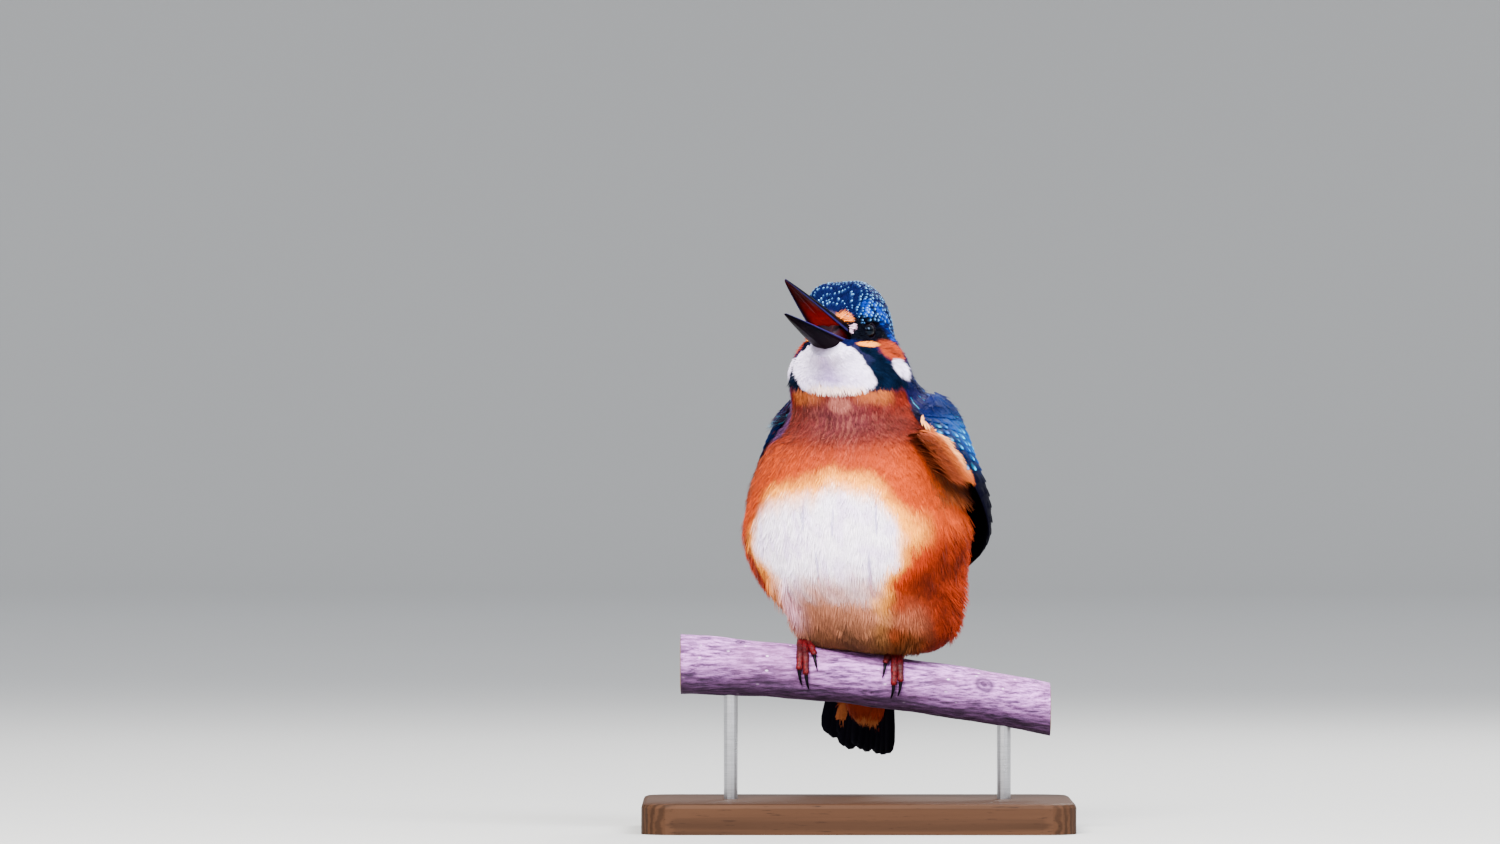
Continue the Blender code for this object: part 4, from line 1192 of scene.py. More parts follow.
def bill_half(depth):
    """Rings of one half of the bill in the head's frame, with paint: the lower half if the depth is below 0.

    Across a ring the outer side is an arch and the inner side a shallow hollow. The arch has a keel, and
    the lower half turns on the jaw hinge.
    """
    share = np.linspace(0.0, 1.0, BILL_RINGS)[:, None] ** 0.9
    forward = GAPE[0] + (BILL_TIP[0] - GAPE[0]) * share
    edge_up = GAPE[2] + (BILL_TIP[1] - GAPE[2]) * share
    half = 0.25 + (GAPE[1] - 0.25) * (1.0 - share) ** 0.85
    tall = abs(depth) * (0.12 + 0.88 * (1.0 - share) ** 0.9)
    side = np.sign(depth)
    outer = np.linspace(0.0, np.pi, BILL_AROUND * 5 // 8 + 1)[None, :]
    inner = np.linspace(1.0, -1.0, BILL_AROUND * 3 // 8 + 1)[None, 1:-1]
    outer_left = half * np.sign(np.cos(outer)) * np.abs(np.cos(outer)) ** 1.15
    keel = 1.0 + 0.05 * bell(outer - np.pi / 2, 0.16)
    arch = np.sin(outer) ** 0.85
    outer_up = edge_up + side * (tall * arch * keel + BILL_PARTING)
    groove = 1 - 0.28 * bell(inner, 0.12)
    inner_up = edge_up + side * (BILL_HOLLOW * tall * (1.0 - inner**2) ** 0.8 * groove + BILL_PARTING)
    left = np.concatenate([outer_left, -half * 0.97 * inner], 1)
    up = np.concatenate([outer_up, inner_up], 1)
    points = np.stack([np.broadcast_to(forward, left.shape), left, up], -1)
    height = np.broadcast_to(arch, outer_left.shape)
    if depth < 0:
        ahead, above = points[..., 0] - JAW_HINGE[0], points[..., 2] - JAW_HINGE[1]
        sine, cosine = np.sin(GAPE_ANGLE), np.cos(GAPE_ANGLE)
        points[..., 0] = JAW_HINGE[0] + ahead * cosine + above * sine
        points[..., 2] = JAW_HINGE[1] - ahead * sine + above * cosine
        shell = mix(tint(1, 1, 4), tint(16, 3, 6), 0.9 * fall_off(0.05, 0.6, share + 0 * height))
    else:
        # a mauve-blue line along the keel of the upper half: painted sheen
        shell = mix(tint(1, 1, 3), tint(44, 36, 96), 0.6 * smooth_step(0.80, 1.0, height))
    # a blue-violet band along the rims of both halves: painted sheen
    shell = mix(shell, tint(52, 44, 108), 0.55 * fall_off(0.05, 0.22, height))
    inside = smooth_step(0.05, 0.42, 1.0 - np.abs(inner)) + 0 * share
    flesh = mix(MOUTH_RED, tint(40, 5, 5), smooth_step(0.30, 0.72, share + 0 * inner))
    flesh = mix(flesh, tint(170, 26, 6), 0.6 * fall_off(0.1, 0.45, share + 0 * inner))
    palate = mix(tint(3, 1, 3), flesh, inside)
    return points, painted(np.concatenate([shell, palate], 1))


def add_bill():
    """Both halves of the bill."""
    for name, depth in (("upper", UPPER_DEPTH), ("lower", -LOWER_DEPTH)):
        local, paint = bill_half(depth)
        points, faces = sleeve(from_head(local))
        make_piece(
            f"bill_{name}_horn", to_world(points), faces, HORN, (f"bill_{name}",),
            paint=with_ends(paint),
        )


def add_eye(side):
    """An eyeball with a low cornea, and the lids: a band on the ball whose opening is an almond."""
    centre, facing, across, upward = eye_frame(SIDES[side])

    def on_ball(polar, turn, radius):
        """Places at a radius from its centre, by the angle from its facing and the turn round that."""
        ahead = (np.cos(polar) + 0 * turn)[..., None] * facing
        aside = (np.sin(polar) * np.cos(turn))[..., None] * across
        above = (np.sin(polar) * np.sin(turn))[..., None] * upward
        return centre + radius[..., None] * (ahead + aside + above)

    polar = np.linspace(0.012, np.pi - 0.012, 40)[:, None]
    turn = full_turn(56)[None, :]
    ball = on_ball(polar, turn, EYE_RADIUS + 0.22 * fall_off(0.0, 0.75, polar))
    points, faces = sleeve(from_head(ball))
    iris = smooth_step(0.36, 0.42, polar) * fall_off(0.70, 0.8, polar) + 0 * turn
    paint = with_ends(painted(mix(tint(1, 1, 2), tint(7, 3, 3), iris)))
    make_piece(f"eyeball_{side}", to_world(points), faces, EYE, (f"eye_{side}",), paint=paint)

    turn = full_turn(72)[:, None]
    corner = np.abs(np.cos(turn)) ** 6 * 0.10
    start = 1.0 / np.hypot(np.cos(turn) / (LID_OPENING[0] + corner), np.sin(turn) / LID_OPENING[1])
    band = np.linspace(0.0, 1.0, 9)[None, :]
    lip = 0.16 * np.sin(np.pi * np.clip(band * 1.6, 0, 1)) ** 0.7
    fold = 0.07 * bell(band - 0.62, 0.1)
    angles = start + (LID_REACH - start) * np.concatenate([band, band[:, ::-1]], 1)
    outside, inside = EYE_RADIUS + 0.10 + lip + fold, EYE_RADIUS - 0.12 + 0 * band
    lids = on_ball(angles, turn, np.concatenate([outside, inside], 1) + 0 * turn)
    count, around = lids.shape[:2]
    quads = (ring_quads(count + 1, around) % (count * around))[:, [0, 3, 2, 1]]
    rim = np.concatenate([1 - band, 0 * band], 1) + 0 * turn
    paint = painted(mix(tint(8, 6, 11), tint(18, 11, 23), smooth_step(0.55, 0.95, rim)))
    points = to_world(from_head(lids.reshape(-1, 3)))
    make_piece(f"eyelids_{side}", points, [quads], LID, paint=paint.reshape(-1, 4))


add_skin()
add_bill()
for label in SIDES:
    add_eye(label)


# ---------------------------------------------------------------- coat of the body

# Where the feathers of the face end beside the bill: height and forward, in the head's frame.
FACE_LINE = ((-9.5, 14.2), (-6.6, 4.0), (-4.2, 2.6), (-1.5, 9.2), (0.9, 13.4), (3.0, 15.4))
LORE_LINE = ((-4.0, 4.0), (-2.6, 7.6), (-1.0, 9.8), (1.0, 13.4), (3.0, 15.4))
EYE_BARE = (2.85, 2.55)             # half the width and the height of the opening round an eye


def clear_of_bill(along, angle):
    """1 where the face is feathered and 0 on the bill, in the mouth and on the eyes."""
    local = in_head(on_form(along, angle)[0])
    forward, left, up = np.moveaxis(local, -1, 0)
    top, foot = jaw_lines(forward)
    line = edge(FACE_LINE, up)
    share = np.clip((forward - GAPE[0]) / (BILL_TIP[0] - GAPE[0]), 0.0, 1.0)
    beside = np.abs(left) > GAPE[1] * (1.0 - share) ** 0.85 + 1.0
    behind = (forward < line) | beside
    mouth = (up < top + 0.1) & (up > foot - 0.1) & (forward > GAPE[0] + 0.9) & ~beside
    seen = np.ones(along.shape, bool)
    for sign in SIDES.values():
        centre, *axes = eye_frame(sign)
        ahead, first, second = (np.sum((local - centre) * axis, -1) for axis in axes)
        seen &= ~((np.hypot(first / EYE_BARE[0], second / EYE_BARE[1]) < 1.0) & (ahead > 0))
    return (behind & ~(mouth & (along < 3.0)) & seen).astype(float)


def beside_bill(along, angle):
    """1 on the feathered edge beside the root of the upper bill."""
    forward, _, up = np.moveaxis(in_head(on_form(along, angle)[0]), -1, 0)
    line = edge(LORE_LINE, up)
    return ((forward < line) & (forward > line - 6.0) & (up > -3.6)).astype(float)


WING_ROWS = {                       # path parameter, and the degrees of the leading and the rear edge
    "left": (
        (4.05, 86.0, 108.0), (4.8, 64.0, 142.0), (5.6, 66.0, 158.0), (6.6, 84.0, 163.0),
        (7.6, 106.0, 165.0), (8.7, 124.0, 165.0), (9.7, 140.0, 163.0), (10.4, 152.0, 158.0),
    ),
    "right": (
        (4.22, 96.0, 112.0), (4.8, 76.0, 142.0), (5.6, 88.0, 158.0), (6.6, 104.0, 163.0),
        (7.6, 114.0, 165.0), (8.7, 126.0, 165.0), (9.7, 140.0, 163.0), (10.4, 152.0, 158.0),
    ),
}


def wing_edge(side, along):
    """Angle of a wing's leading edge from the ventral midline, in degrees, at path parameters."""
    rows = np.array(WING_ROWS[side])
    return np.interp(along, rows[:, 0], rows[:, 1], left=180.0, right=180.0)


def under_wing(along, angle):
    """1 where the trunk lies under a wing, further in than a margin from the leading and the rear edge."""
    signed = signed_degrees(angle)
    wide = np.abs(signed)
    start = np.where(signed > 0, wing_edge("left", along), wing_edge("right", along))
    stop = np.interp(along, (4.2, 4.8, 5.6, 9.7, 10.4), (112, 142, 158, 163, 158))
    return (wide > start + 7.0) & (wide < stop - 3.0) & (along > 4.3) & (along < 10.2)


def in_rows(along, degrees, row_step, gap, seed, jitter=0.1):
    """Roots in staggered rows across the lie: rows at even path steps, and even gaps along each row."""
    chance = np.random.default_rng(seed)
    found = []
    for index, row in enumerate(np.arange(*along, row_step)):
        angle = np.radians(np.linspace(*degrees, 240))
        place = on_form(np.full(240, row), angle)[0]
        run = np.concatenate([[0.0], np.cumsum(np.linalg.norm(np.diff(place, axis=0), axis=-1))])
        spots = np.arange((index % 2) * gap / 2 + gap * 0.25, run[-1], gap)
        spots = spots + chance.normal(0, jitter * gap, len(spots))
        rows = np.full(len(spots), row) + chance.normal(0, jitter * 0.3, len(spots)) * 0.1
        found.append(np.stack([rows, np.interp(spots, run, angle)]))
    return np.concatenate(found, 1)


def kept(roots, *masks):
    """The roots where every mask is 1."""
    keep = np.ones(roots[0].shape, bool)
    for mask in masks:
        keep &= mask(*roots) > 0.5
    return roots[0][keep], roots[1][keep]


def spotted(size, spot_colour, where=marking, strength=1.0):
    """Paint for feathers with a pale spot across the tip, on the ground colour that where gives."""
    def paint(last_first, last_second, stations, corners, chance):
        base = where(np.clip(last_first, 0, PATH_END), last_second)
        base[:, :3] *= chance.normal(1.0, 0.10, len(base))[:, None]
        shade = np.broadcast_to(base[:, None, None], (len(base), len(stations), len(corners), 4)).copy()
        shade[..., :3] *= (0.55 + 0.5 * stations)[None, :, None, None]
        aside = chance.normal(0, 0.3, len(base))[:, None, None]
        spot = bell(stations - 0.88, size[0])[None, :, None] * bell(corners - aside, size[1])
        power = np.clip(chance.normal(0.85, 0.45, len(base)) * strength, 0.0, 1.1)[:, None, None]
        pale = spot_colour(last_first, last_second)[:, None, None]
        shade[..., :3] = mix(shade[..., :3], pale, np.clip(spot * power, 0, 1))
        tip = base.copy()
        tip[:, :3] = mix(base[:, :3], pale[:, 0, 0], np.clip(0.12 * power[:, 0, 0], 0, 1))
        return np.clip(shade, 0, 1), np.clip(tip, 0, 1)
    return paint


def crown_spot(along, angle):
    """Spots paler in front and on top, and turquoise at the rear and the sides."""
    rear = np.maximum(smooth_step(1.6, 2.6, along), fall_off(108, 132, wide_degrees(angle)))
    return mix(CROWN_SPOT, TURQUOISE * 1.15, 0.8 * rear)


def add_head_coat():
    """Crown and nape in rows of spotted vanes with a downy edge; face, ear coverts and bib in small tufts."""
    nape = lambda along, angle: wide_degrees(angle) > edge(NAPE_EDGE, along)
    batches = []
    for along, row_step, gap, length, width, size, seed in (
        ((0.06, 0.50), 0.085, 0.90, 1.7, 0.9, (0.12, 0.46), 1),
        ((0.50, 1.0), 0.100, 1.20, 2.5, 1.3, (0.105, 0.44), 2),
        ((1.0, 2.3), 0.125, 1.50, 3.1, 1.6, (0.09, 0.42), 3),
        ((2.3, 4.3), 0.20, 2.0, 4.2, 2.4, (0.08, 0.40), 4),
    ):
        roots = kept(in_rows(along, (92.0, 268.0), row_step, gap, seed, 0.22), clear_of_bill, nape)
        depth = skin_depth(*roots) + 0.1
        batches.append(vanes(
            on_form, roots, seed, length, width, spotted(size, crown_spot), unwrapped(*roots), depth, 0.05,
        ))
    for along, count, length, seed in (
        ((0.04, 0.8), 460, 1.7, 5),
        ((0.8, 2.4), 620, 2.4, 6),
        ((2.4, 4.4), 640, 3.6, 7),
    ):
        roots = kept(scattered(count, along, (96, 264), seed), clear_of_bill)
        batches.append(tufts(
            roots, seed, length, 0.24, barbs=5, fan=0.30, spread=1.3, rise=-0.12, root_painted_shade=0.6, loose=0.0,
        ))
    add_coat("coat_crown", CROWN_COAT, "plumage_crown", *batches)


    def face(along, angle):
        wide = wide_degrees(angle)
        return (wide < 114) & (wide > edge(BIB_EDGE, along) - 4)

    def lores(along, angle):
        wide = wide_degrees(angle)
        return (wide > 84) & (wide < 160) & (beside_bill(along, angle) > 0.5)

    ear = lambda along, angle: oval(along, wide_degrees(angle) / 30.0, (1.72, 2.62), (0.50, 0.50), -20)
    patch = lambda along, angle: oval(along, wide_degrees(angle) / 30.0, (2.55, 2.30), (0.55, 0.30), 4)
    for name, degrees, start in (("left", (28, 160), 10), ("right", (200, 332), 20)):
        batches = []
        for along, count, length, width, rise, seed in (
            ((0.02, 0.9), 620, 1.2, 0.20, 0.0, 1),
            ((0.9, 2.1), 720, 2.1, 0.24, 0.05, 2),
            ((2.0, 3.75), 620, 3.4, 0.30, 0.1, 3),
        ):
            roots = kept(scattered(count, along, degrees, start + seed), clear_of_bill, face)
            batches.append(tufts(
                roots, start + seed, length, width, barbs=6, fan=0.35, spread=1.1, rise=rise, root_painted_shade=0.8,
            ))
        for mask, count, along, seed, length, width, look in (
            (ear, 300, (1.1, 2.4), 4, 2.6, 0.30, dict(fan=0.35, spread=1.2, rise=0.5, root_painted_shade=0.85)),
            (patch, 300, (1.9, 3.2), 5, 3.6, 0.34, dict(
                fan=0.30, spread=1.3, rise=0.7, root_painted_shade=0.9, vary=0.03,
            )),
            (lores, 420, (0.0, 0.62), 6, 1.5, 0.24, dict(
                fan=0.45, spread=1.1, rise=0.45, root_painted_shade=0.9, jitter=0.3,
            )),
        ):
            roots = kept(scattered(count, along, degrees, start + seed), mask)
            batches.append(tufts(roots, start + seed, length, width, barbs=6, **look))
        add_coat(f"coat_face_{name}", NECK_COAT, "plumage_neck", *batches)

    bib = lambda along, angle: wide_degrees(angle) < edge(BIB_EDGE, along) + 30
    batches = []
    for along, count, length, width, seed in (
        ((0.0, 1.0), 300, 2.2, 0.26, 31),
        ((1.0, 2.6), 480, 3.4, 0.32, 32),
        ((2.6, 3.95), 480, 4.6, 0.36, 33),
    ):
        for degrees in ((0, 72), (288, 360)):
            roots = kept(scattered(count, along, degrees, seed), clear_of_bill, bib)
            batches.append(tufts(
                roots, seed, length, width, barbs=7, fan=0.25, spread=1.6, root_painted_shade=0.94, vary=0.025,
                loose=0.03,
            ))
    add_coat("coat_bib", NECK_COAT, "plumage_neck", *batches)


def add_body_coat():
    """Breast, belly, flanks, vent, rump and back in overlapping downy feathers."""
    bare = lambda along, angle: ~under_wing(along, angle)
    batches = {}
    for name, along, spans, count, length, width, fan, spread in (
        ("coat_breast", (3.7, 5.0), ((0, 92), (268, 360)), 900, 4.6, 0.36, 0.30, 1.6),
        ("coat_chest", (4.9, 6.1), ((0, 98), (262, 360)), 900, 6.4, 0.42, 0.26, 2.0),
        ("coat_belly_left", (5.9, 8.9), ((0, 60),), 1500, 9.5, 0.46, 0.20, 2.2),
        ("coat_belly_right", (5.9, 8.9), ((300, 360),), 1500, 9.5, 0.46, 0.20, 2.2),
        ("coat_flank_left", (5.8, 9.3), ((56, 122),), 1250, 9.5, 0.46, 0.20, 2.2),
        ("coat_flank_right", (5.8, 9.3), ((238, 304),), 1250, 9.5, 0.46, 0.20, 2.2),
        ("coat_vent", (8.7, 10.75), ((0, 110), (250, 360)), 460, 6.5, 0.40, 0.24, 2.0),
        ("coat_back", (3.9, 8.4), ((128, 232),), 680, 5.5, 0.40, 0.26, 2.0),
        ("coat_back", (8.2, 10.7), ((105, 255),), 480, 5.5, 0.40, 0.26, 2.0),
    ):
        for degrees in spans:
            parts = batches.setdefault(name, [])
            seed = sum(map(ord, name)) + len(parts)
            roots = kept(scattered(count, along, degrees, seed), bare)
            parts.append(tufts(roots, seed, length, width, barbs=8, fan=fan, spread=spread))
    for name, parts in batches.items():
        add_coat(name, BODY_COAT, "plumage_body", *parts)

    batches = []
    for along, degrees, count, length, rise, sway, seed in (
        ((7.2, 8.3), (300, 322), 34, 8.5, 1.4, 0.15, 51),       # ragged ends below the right flank
        ((7.5, 8.4), (308, 326), 30, 7.0, 0.8, 0.1, 52),        # down over the right leg
        ((7.4, 8.6), (62, 96), 60, 8.0, 1.3, 0.1, 53),          # wisps of the left flank
        ((6.3, 7.6), (62, 90), 60, 8.0, 0.9, 0.12, 54),
        ((6.2, 7.6), (276, 300), 60, 8.0, 0.8, -0.12, 55),
        ((7.9, 8.6), (18, 48), 40, 6.0, 0.7, 0.0, 56),          # down over the left leg
        ((7.9, 8.7), (-20, 20), 50, 6.0, 0.3, 0.0, 57),
    ):
        roots = scattered(count * THRIFT, along, degrees, seed)
        batches.append(tufts(
            roots, seed, length, 0.40, barbs=9, fan=0.16, spread=1.6, rise=rise, sway=sway, jitter=0.2,
        ))
    add_coat("coat_loose", BODY_COAT, "plumage_body", *batches)


# ---------------------------------------------------------------- wings

WING_LIFT = {"left": 5.4, "right": 0.3}     # how far the leading edge hangs away from the flank
WING_LOOSE = (0.04, 0.64)                   # where along the wing it hangs away
WING_THICK = 2.0
WING_EDGE = 0.6
WING_GAP = 0.54                             # from the plumage under it
QUILLS = 22
QUILL_STATIONS = np.array([0.0, 0.12, 0.26, 0.4, 0.54, 0.68, 0.8, 0.9, 0.965, 1.0])
QUILL_WIDTHS = np.array([0.4, 0.8, 0.95, 1.0, 1.0, 0.98, 0.9, 0.72, 0.42])


def wing_place(side, length, across, share):
    """A place on a folded wing, from its inner face at share 0 to its outer face at 1, and the normal."""
    rows = WING_ROWS[side]
    row = smooth_curve(rows, np.clip(length, 0.0, 1.0) * (len(rows) - 1))
    across = np.clip(across, 0.0, 1.0)
    angle = SIDES[side] * np.radians(row[..., 1] + (row[..., 2] - row[..., 1]) * across)
    away = (length - WING_LOOSE[0]) / (WING_LOOSE[1] - WING_LOOSE[0])
    loose = np.sin(np.pi * np.clip(away, 0.0, 1.0)) ** 1.6
    hang = WING_LIFT[side] * (1.0 - across) ** 1.5 * loose
    thick = (WING_EDGE + (WING_THICK - WING_EDGE) * (1.0 - (2 * across - 1.0) ** 4)) * (1.0 - 0.5 * length)
    place, normal, *_ = on_form(row[..., 0], angle)
    return place + normal * (WING_GAP + hang + thick * share)[..., None], normal


def wing_ground(side, share=0.8, facing=1.0):
    """A face of a wing as a ground for feathers: length and share across, facing outwards or inwards."""
    def ground(length, across):
        nudge = 2e-3
        inner = np.clip(across, 0.01, 0.99)
        near = np.clip(length, 0.004, 0.995)
        at = lambda more_length, more_across: wing_place(side, near + more_length, inner + more_across, share)
        place, outward = at(0.0, 0.0)
        by_length = at(nudge, 0.0)[0] - at(-nudge, 0.0)[0]
        by_across = at(0.0, nudge)[0] - at(0.0, -nudge)[0]
        normal = unit(np.cross(by_length, by_across))
        normal = normal * np.sign(np.sum(normal * outward, -1, keepdims=True)) * facing
        by_length, by_across = by_length / (2 * nudge), by_across / (2 * nudge)
        place = place + by_length * (length - near)[..., None]
        place = place + by_across * np.minimum(across - inner, 0.0)[..., None]
        return place, normal, by_length, by_across
    return ground


def wing_shade(length, across):
    """Colour of a wing's upper side: violet-blue in front, blue coverts, blackish quills with a blue edge."""
    covert = mix(WING_BLUE, WING_GREEN, smooth_step(0.55, 0.95, across))
    covert = mix(covert, tint(1, 70, 132), 0.6 * bell(across - 0.40, 0.18))
    covert = mix(covert, WING_VIOLET, 0.8 * fall_off(0.10, 0.20, length))
    # dark along the leading edge behind the front: painted shade in the gap before the lining
    covert = mix(covert, WING_EDGE_SHADE, 0.8 * fall_off(0.06, 0.26, across) * smooth_step(0.10, 0.2, length))
    quill = mix(tint(4, 3, 12), tint(3, 22, 60), smooth_step(0.45, 0.85, across))
    start = 0.27 + 0.13 * smooth_step(0.3, 0.6, across)
    return painted(mix(covert, quill, smooth_step(start, start + 0.10, length)), 0.8)


def lining_shade(length, across):
    """Colour under a wing's front: rust down, cream along the leading edge, and dark brown deeper in, under
    the wing, as painted shade.
    """
    rust = mix(LINING, LINING_PAINTED_SHADE, smooth_step(0.14, 0.34, across))
    return painted(mix(rust, LINING_CREAM, fall_off(0.05, 0.09, across) * fall_off(0.34, 0.44, length)), 0.1)


def lobe_shade(length, across):
    """Colour of the lining before a wing's edge: cream at the edge, then light rust, then browner."""
    rust = mix(LINING_LIGHT, LINING, smooth_step(0.02, 0.10, -across))
    cream = 0.85 * smooth_step(-0.02, -0.004, across) * fall_off(0.30, 0.35, length)
    return painted(mix(rust, LINING_CREAM, cream), 0.1)


def on_wing(length, across):
    """The place on a wing's unwrap."""
    return 0.02 + 0.96 * np.clip(np.stack([length, across], -1), 0, 1)


def add_wing_flesh(side):
    """A wing's flesh: a closed sheet, dark below (the quills' own dark and painted shade), with rust and on
    the left cream along its front.
    """
    length = np.linspace(0.0, 1.0, 70)[:, None] + np.zeros((1, 40))
    across = np.linspace(0.0, 1.0, 40)[None, :] + 0 * length
    inner = wing_place(side, length, across, 0.08)[0]
    outer = wing_place(side, length, across, 0.72)[0]
    points, faces = sleeve(np.concatenate([inner, outer[:, ::-1]], 1))
    # near-black on the face turned to the body: the quills' own dark and painted shade
    under = mix(tint(5, 4, 8), tint(130, 56, 28), fall_off(0.0, 0.5, across) * fall_off(0.29, 0.36, length))
    cream = fall_off(0.10, 0.2, across) * fall_off(0.24, 0.34, length) * smooth_step(0.16, 0.22, length)
    under = mix(under, LINING_CREAM, cream * (side == "left"))
    above = wing_shade(length, across)[..., :3]
    paint = np.concatenate([painted(under, 0.2), painted(above, 0.6)[:, ::-1]], 1)
    make_piece(
        f"wing_{side}_flesh", to_world(points), faces, WING_COAT, (f"wing_{side}",),
        paint=with_ends(paint),
    )


def add_wing(side):
    """A wing: its flesh, rows of spotted coverts, and quills laid like shingles, with down under its front,
    and scapulars and fluff where it meets the body."""
    sign = SIDES[side]
    add_wing_flesh(side)
    ground = wing_ground(side)
    chance = np.random.default_rng(7)
    firsts, seconds = [], []
    for index, row in enumerate(np.arange(0.05, 0.47, 0.030)):
        spots = np.arange(0.03 + 0.035 * (index % 2), 0.99, 0.072)
        firsts.append(np.full(len(spots), row) + chance.normal(0, 0.003, len(spots)))
        seconds.append(spots + chance.normal(0, 0.008, len(spots)))
    roots = np.concatenate(firsts), np.clip(np.concatenate(seconds), 0.02, 0.98)
    spot = lambda length, across: mix(TURQUOISE, WING_SPOT, chance.uniform(0, 1.0, len(length)))
    strength = np.where(sign < 0, smooth_step(0.05, 0.3, roots[1]), 1.0) * smooth_step(0.10, 0.20, roots[0])
    strength = strength * (chance.random(len(roots[0])) < 0.8) * (1 - (roots[0] > 0.31) * (roots[1] < 0.4))
    coverts = vanes(
        ground, roots, 31, 4.6, 3.2, spotted((0.12, 0.42), spot, wing_shade, 1.9 * strength),
        on_wing(*roots), depth=0.5, rise=0.22,
    )
    greater = (np.full(15, 0.43), np.linspace(0.06, 0.96, 15))
    large = vanes(
        ground, greater, 32, 11.0, 4.2, spotted((0.10, 0.30), spot, wing_shade, 0.35), on_wing(*greater),
        depth=0.45, rise=0.18,
    )
    share = np.linspace(0.0, 1.0, QUILLS)
    quills = (0.40 + 0.10 * share * (1 - share), 0.05 + 0.90 * share)
    reach = np.interp(share, (0, 0.15, 0.45, 0.8, 1.0), (0.60, 0.60, 0.52, 0.42, 0.36)) * 72.0

    def quill_paint(last_first, last_second, steps, corners, _):
        base = wing_shade(np.full(len(last_first), 0.9), quills[1])
        shade = np.broadcast_to(base[:, None, None], (len(base), len(steps), len(corners), 4)).copy()
        leading = smooth_step(0.4, 1.0, corners * sign)[None, None]
        shade[..., :3] = mix(shade[..., :3], tint(2, 30, 90), 0.55 * leading)
        return shade, base

    long = vanes(
        ground, quills, 33, reach, 5.0, quill_paint, on_wing(*quills), depth=0.30 - 0.02 * share,
        rise=0.16 + 0.10 * share, thick=0.09, camber=0.10, stations=QUILL_STATIONS, widths=QUILL_WIDTHS,
        jitter=0.012, ease=1.0,
    )
    down = lambda length, across: 0.3 + 0 * length
    count = 420
    spots = chance.uniform(0.12, 0.31, count), chance.uniform(0.01, 0.30, count)
    under = tufts(
        spots, 34, 6.0, 0.42, barbs=7, fan=0.25, spread=1.8, rise=0.4,
        colours=lining_shade if sign > 0 else wing_shade, ground=wing_ground(side, 0.05, -1.0), depth=down,
        uv=on_wing,
    )
    lobe = []
    if side == "left":              # the puffed lining that shows before the wing's edge, cream beside it
        count = 400
        spots = chance.uniform(0.19, 0.315, count), -0.17 * chance.random(count) ** 1.2 + 0.012

        def depth(length, across):
            """Deeper before the edge, in step with the wing's slope there, and uneven."""
            return 0.2 - 19.0 * np.minimum(across, 0.0) + chance.uniform(-0.5, 0.2, across.shape)

        lobe = [tufts(
            spots, 35, 6.0, 0.42, barbs=8, fan=0.26, spread=1.8, rise=0.4, colours=lobe_shade,
            ground=wing_ground(side, 0.35), depth=depth, uv=on_wing, vary=0.12,
        )]
    spots = chance.uniform(-0.02, 0.08, 170), chance.uniform(0.02, 0.98, 170)
    front = tufts(
        spots, 36, 5.0, 0.42, barbs=8, fan=0.25, spread=1.8, rise=0.3, colours=wing_shade, ground=ground,
        depth=down, uv=on_wing,
    )
    add_coat(f"coat_wing_{side}", WING_COAT, "plumage_wing", coverts, large, long, under, front, *lobe)

    def scapular(along, angle):
        """Dark scapulars, violet further back, with a pale blue feather here and there."""
        behind = (sign < 0) * fall_off(272.0, 284.0, np.degrees(angle))
        colour = SCAPULAR if sign > 0 else SCAPULAR_RIGHT
        colour = mix(colour, WING_VIOLET, np.maximum(smooth_step(4.6, 5.2, along), behind))
        return painted(mix(colour, WING_SPOT, 0.8 * (chance.random(along.shape) < 0.10)), 0.7)

    def rust(along, angle):
        """Rust fluff, as dark as the breast in front."""
        fluff = mix(LINING_LIGHT, LINING, chance.uniform(0, 1, along.shape))
        return painted(mix(fluff, BREAST, fall_off(5.1, 5.9, along)), 0.1)

    roots = scattered(230, (3.6, 4.3), (68, 116) if sign > 0 else (238, 288), 37)
    rise = np.linspace(1.2, 3.4, len(roots[0]))
    bridge = tufts(roots, 37, 7.5, 0.42, barbs=8, fan=0.22, spread=2.0, rise=rise, colours=scapular)
    low, high, count, lift = (60, 84, 260, 2.6) if sign > 0 else (268, 290, 80, 0.8)
    roots = scattered(count, (4.7, 5.9), (low, high), 38)
    degrees = np.degrees(roots[1])
    rise = lift * smooth_step(low, high, degrees if sign > 0 else low + high - degrees)
    fluff = tufts(roots, 38, 9.0, 0.42, barbs=8, fan=0.22, spread=2.0, rise=rise, colours=rust)
    add_coat(f"coat_side_{side}", BODY_COAT, "plumage_body", bridge, fluff)


# ---------------------------------------------------------------- tail

TAIL_ROOT = (-17.0, -1.6, 54.0)
TAIL_DOWN = np.radians(57.0)
TAIL_SWING = np.radians(12.0)
TAIL_TWIST = np.radians(-15.0)
TAIL_LENGTH = 41.0
TAIL_WIDTHS = (8.0, 22.0)
TAIL_ARCH = 1.6
TAIL_FEATHERS = 12
TAIL_STATIONS = np.array([0.0, 0.15, 0.3, 0.45, 0.6, 0.75, 0.87, 0.945, 0.985, 1.0])
TAIL_FEATHER_WIDTHS = np.array([0.5, 0.72, 0.82, 0.9, 0.96, 1.0, 0.97, 0.78, 0.45])


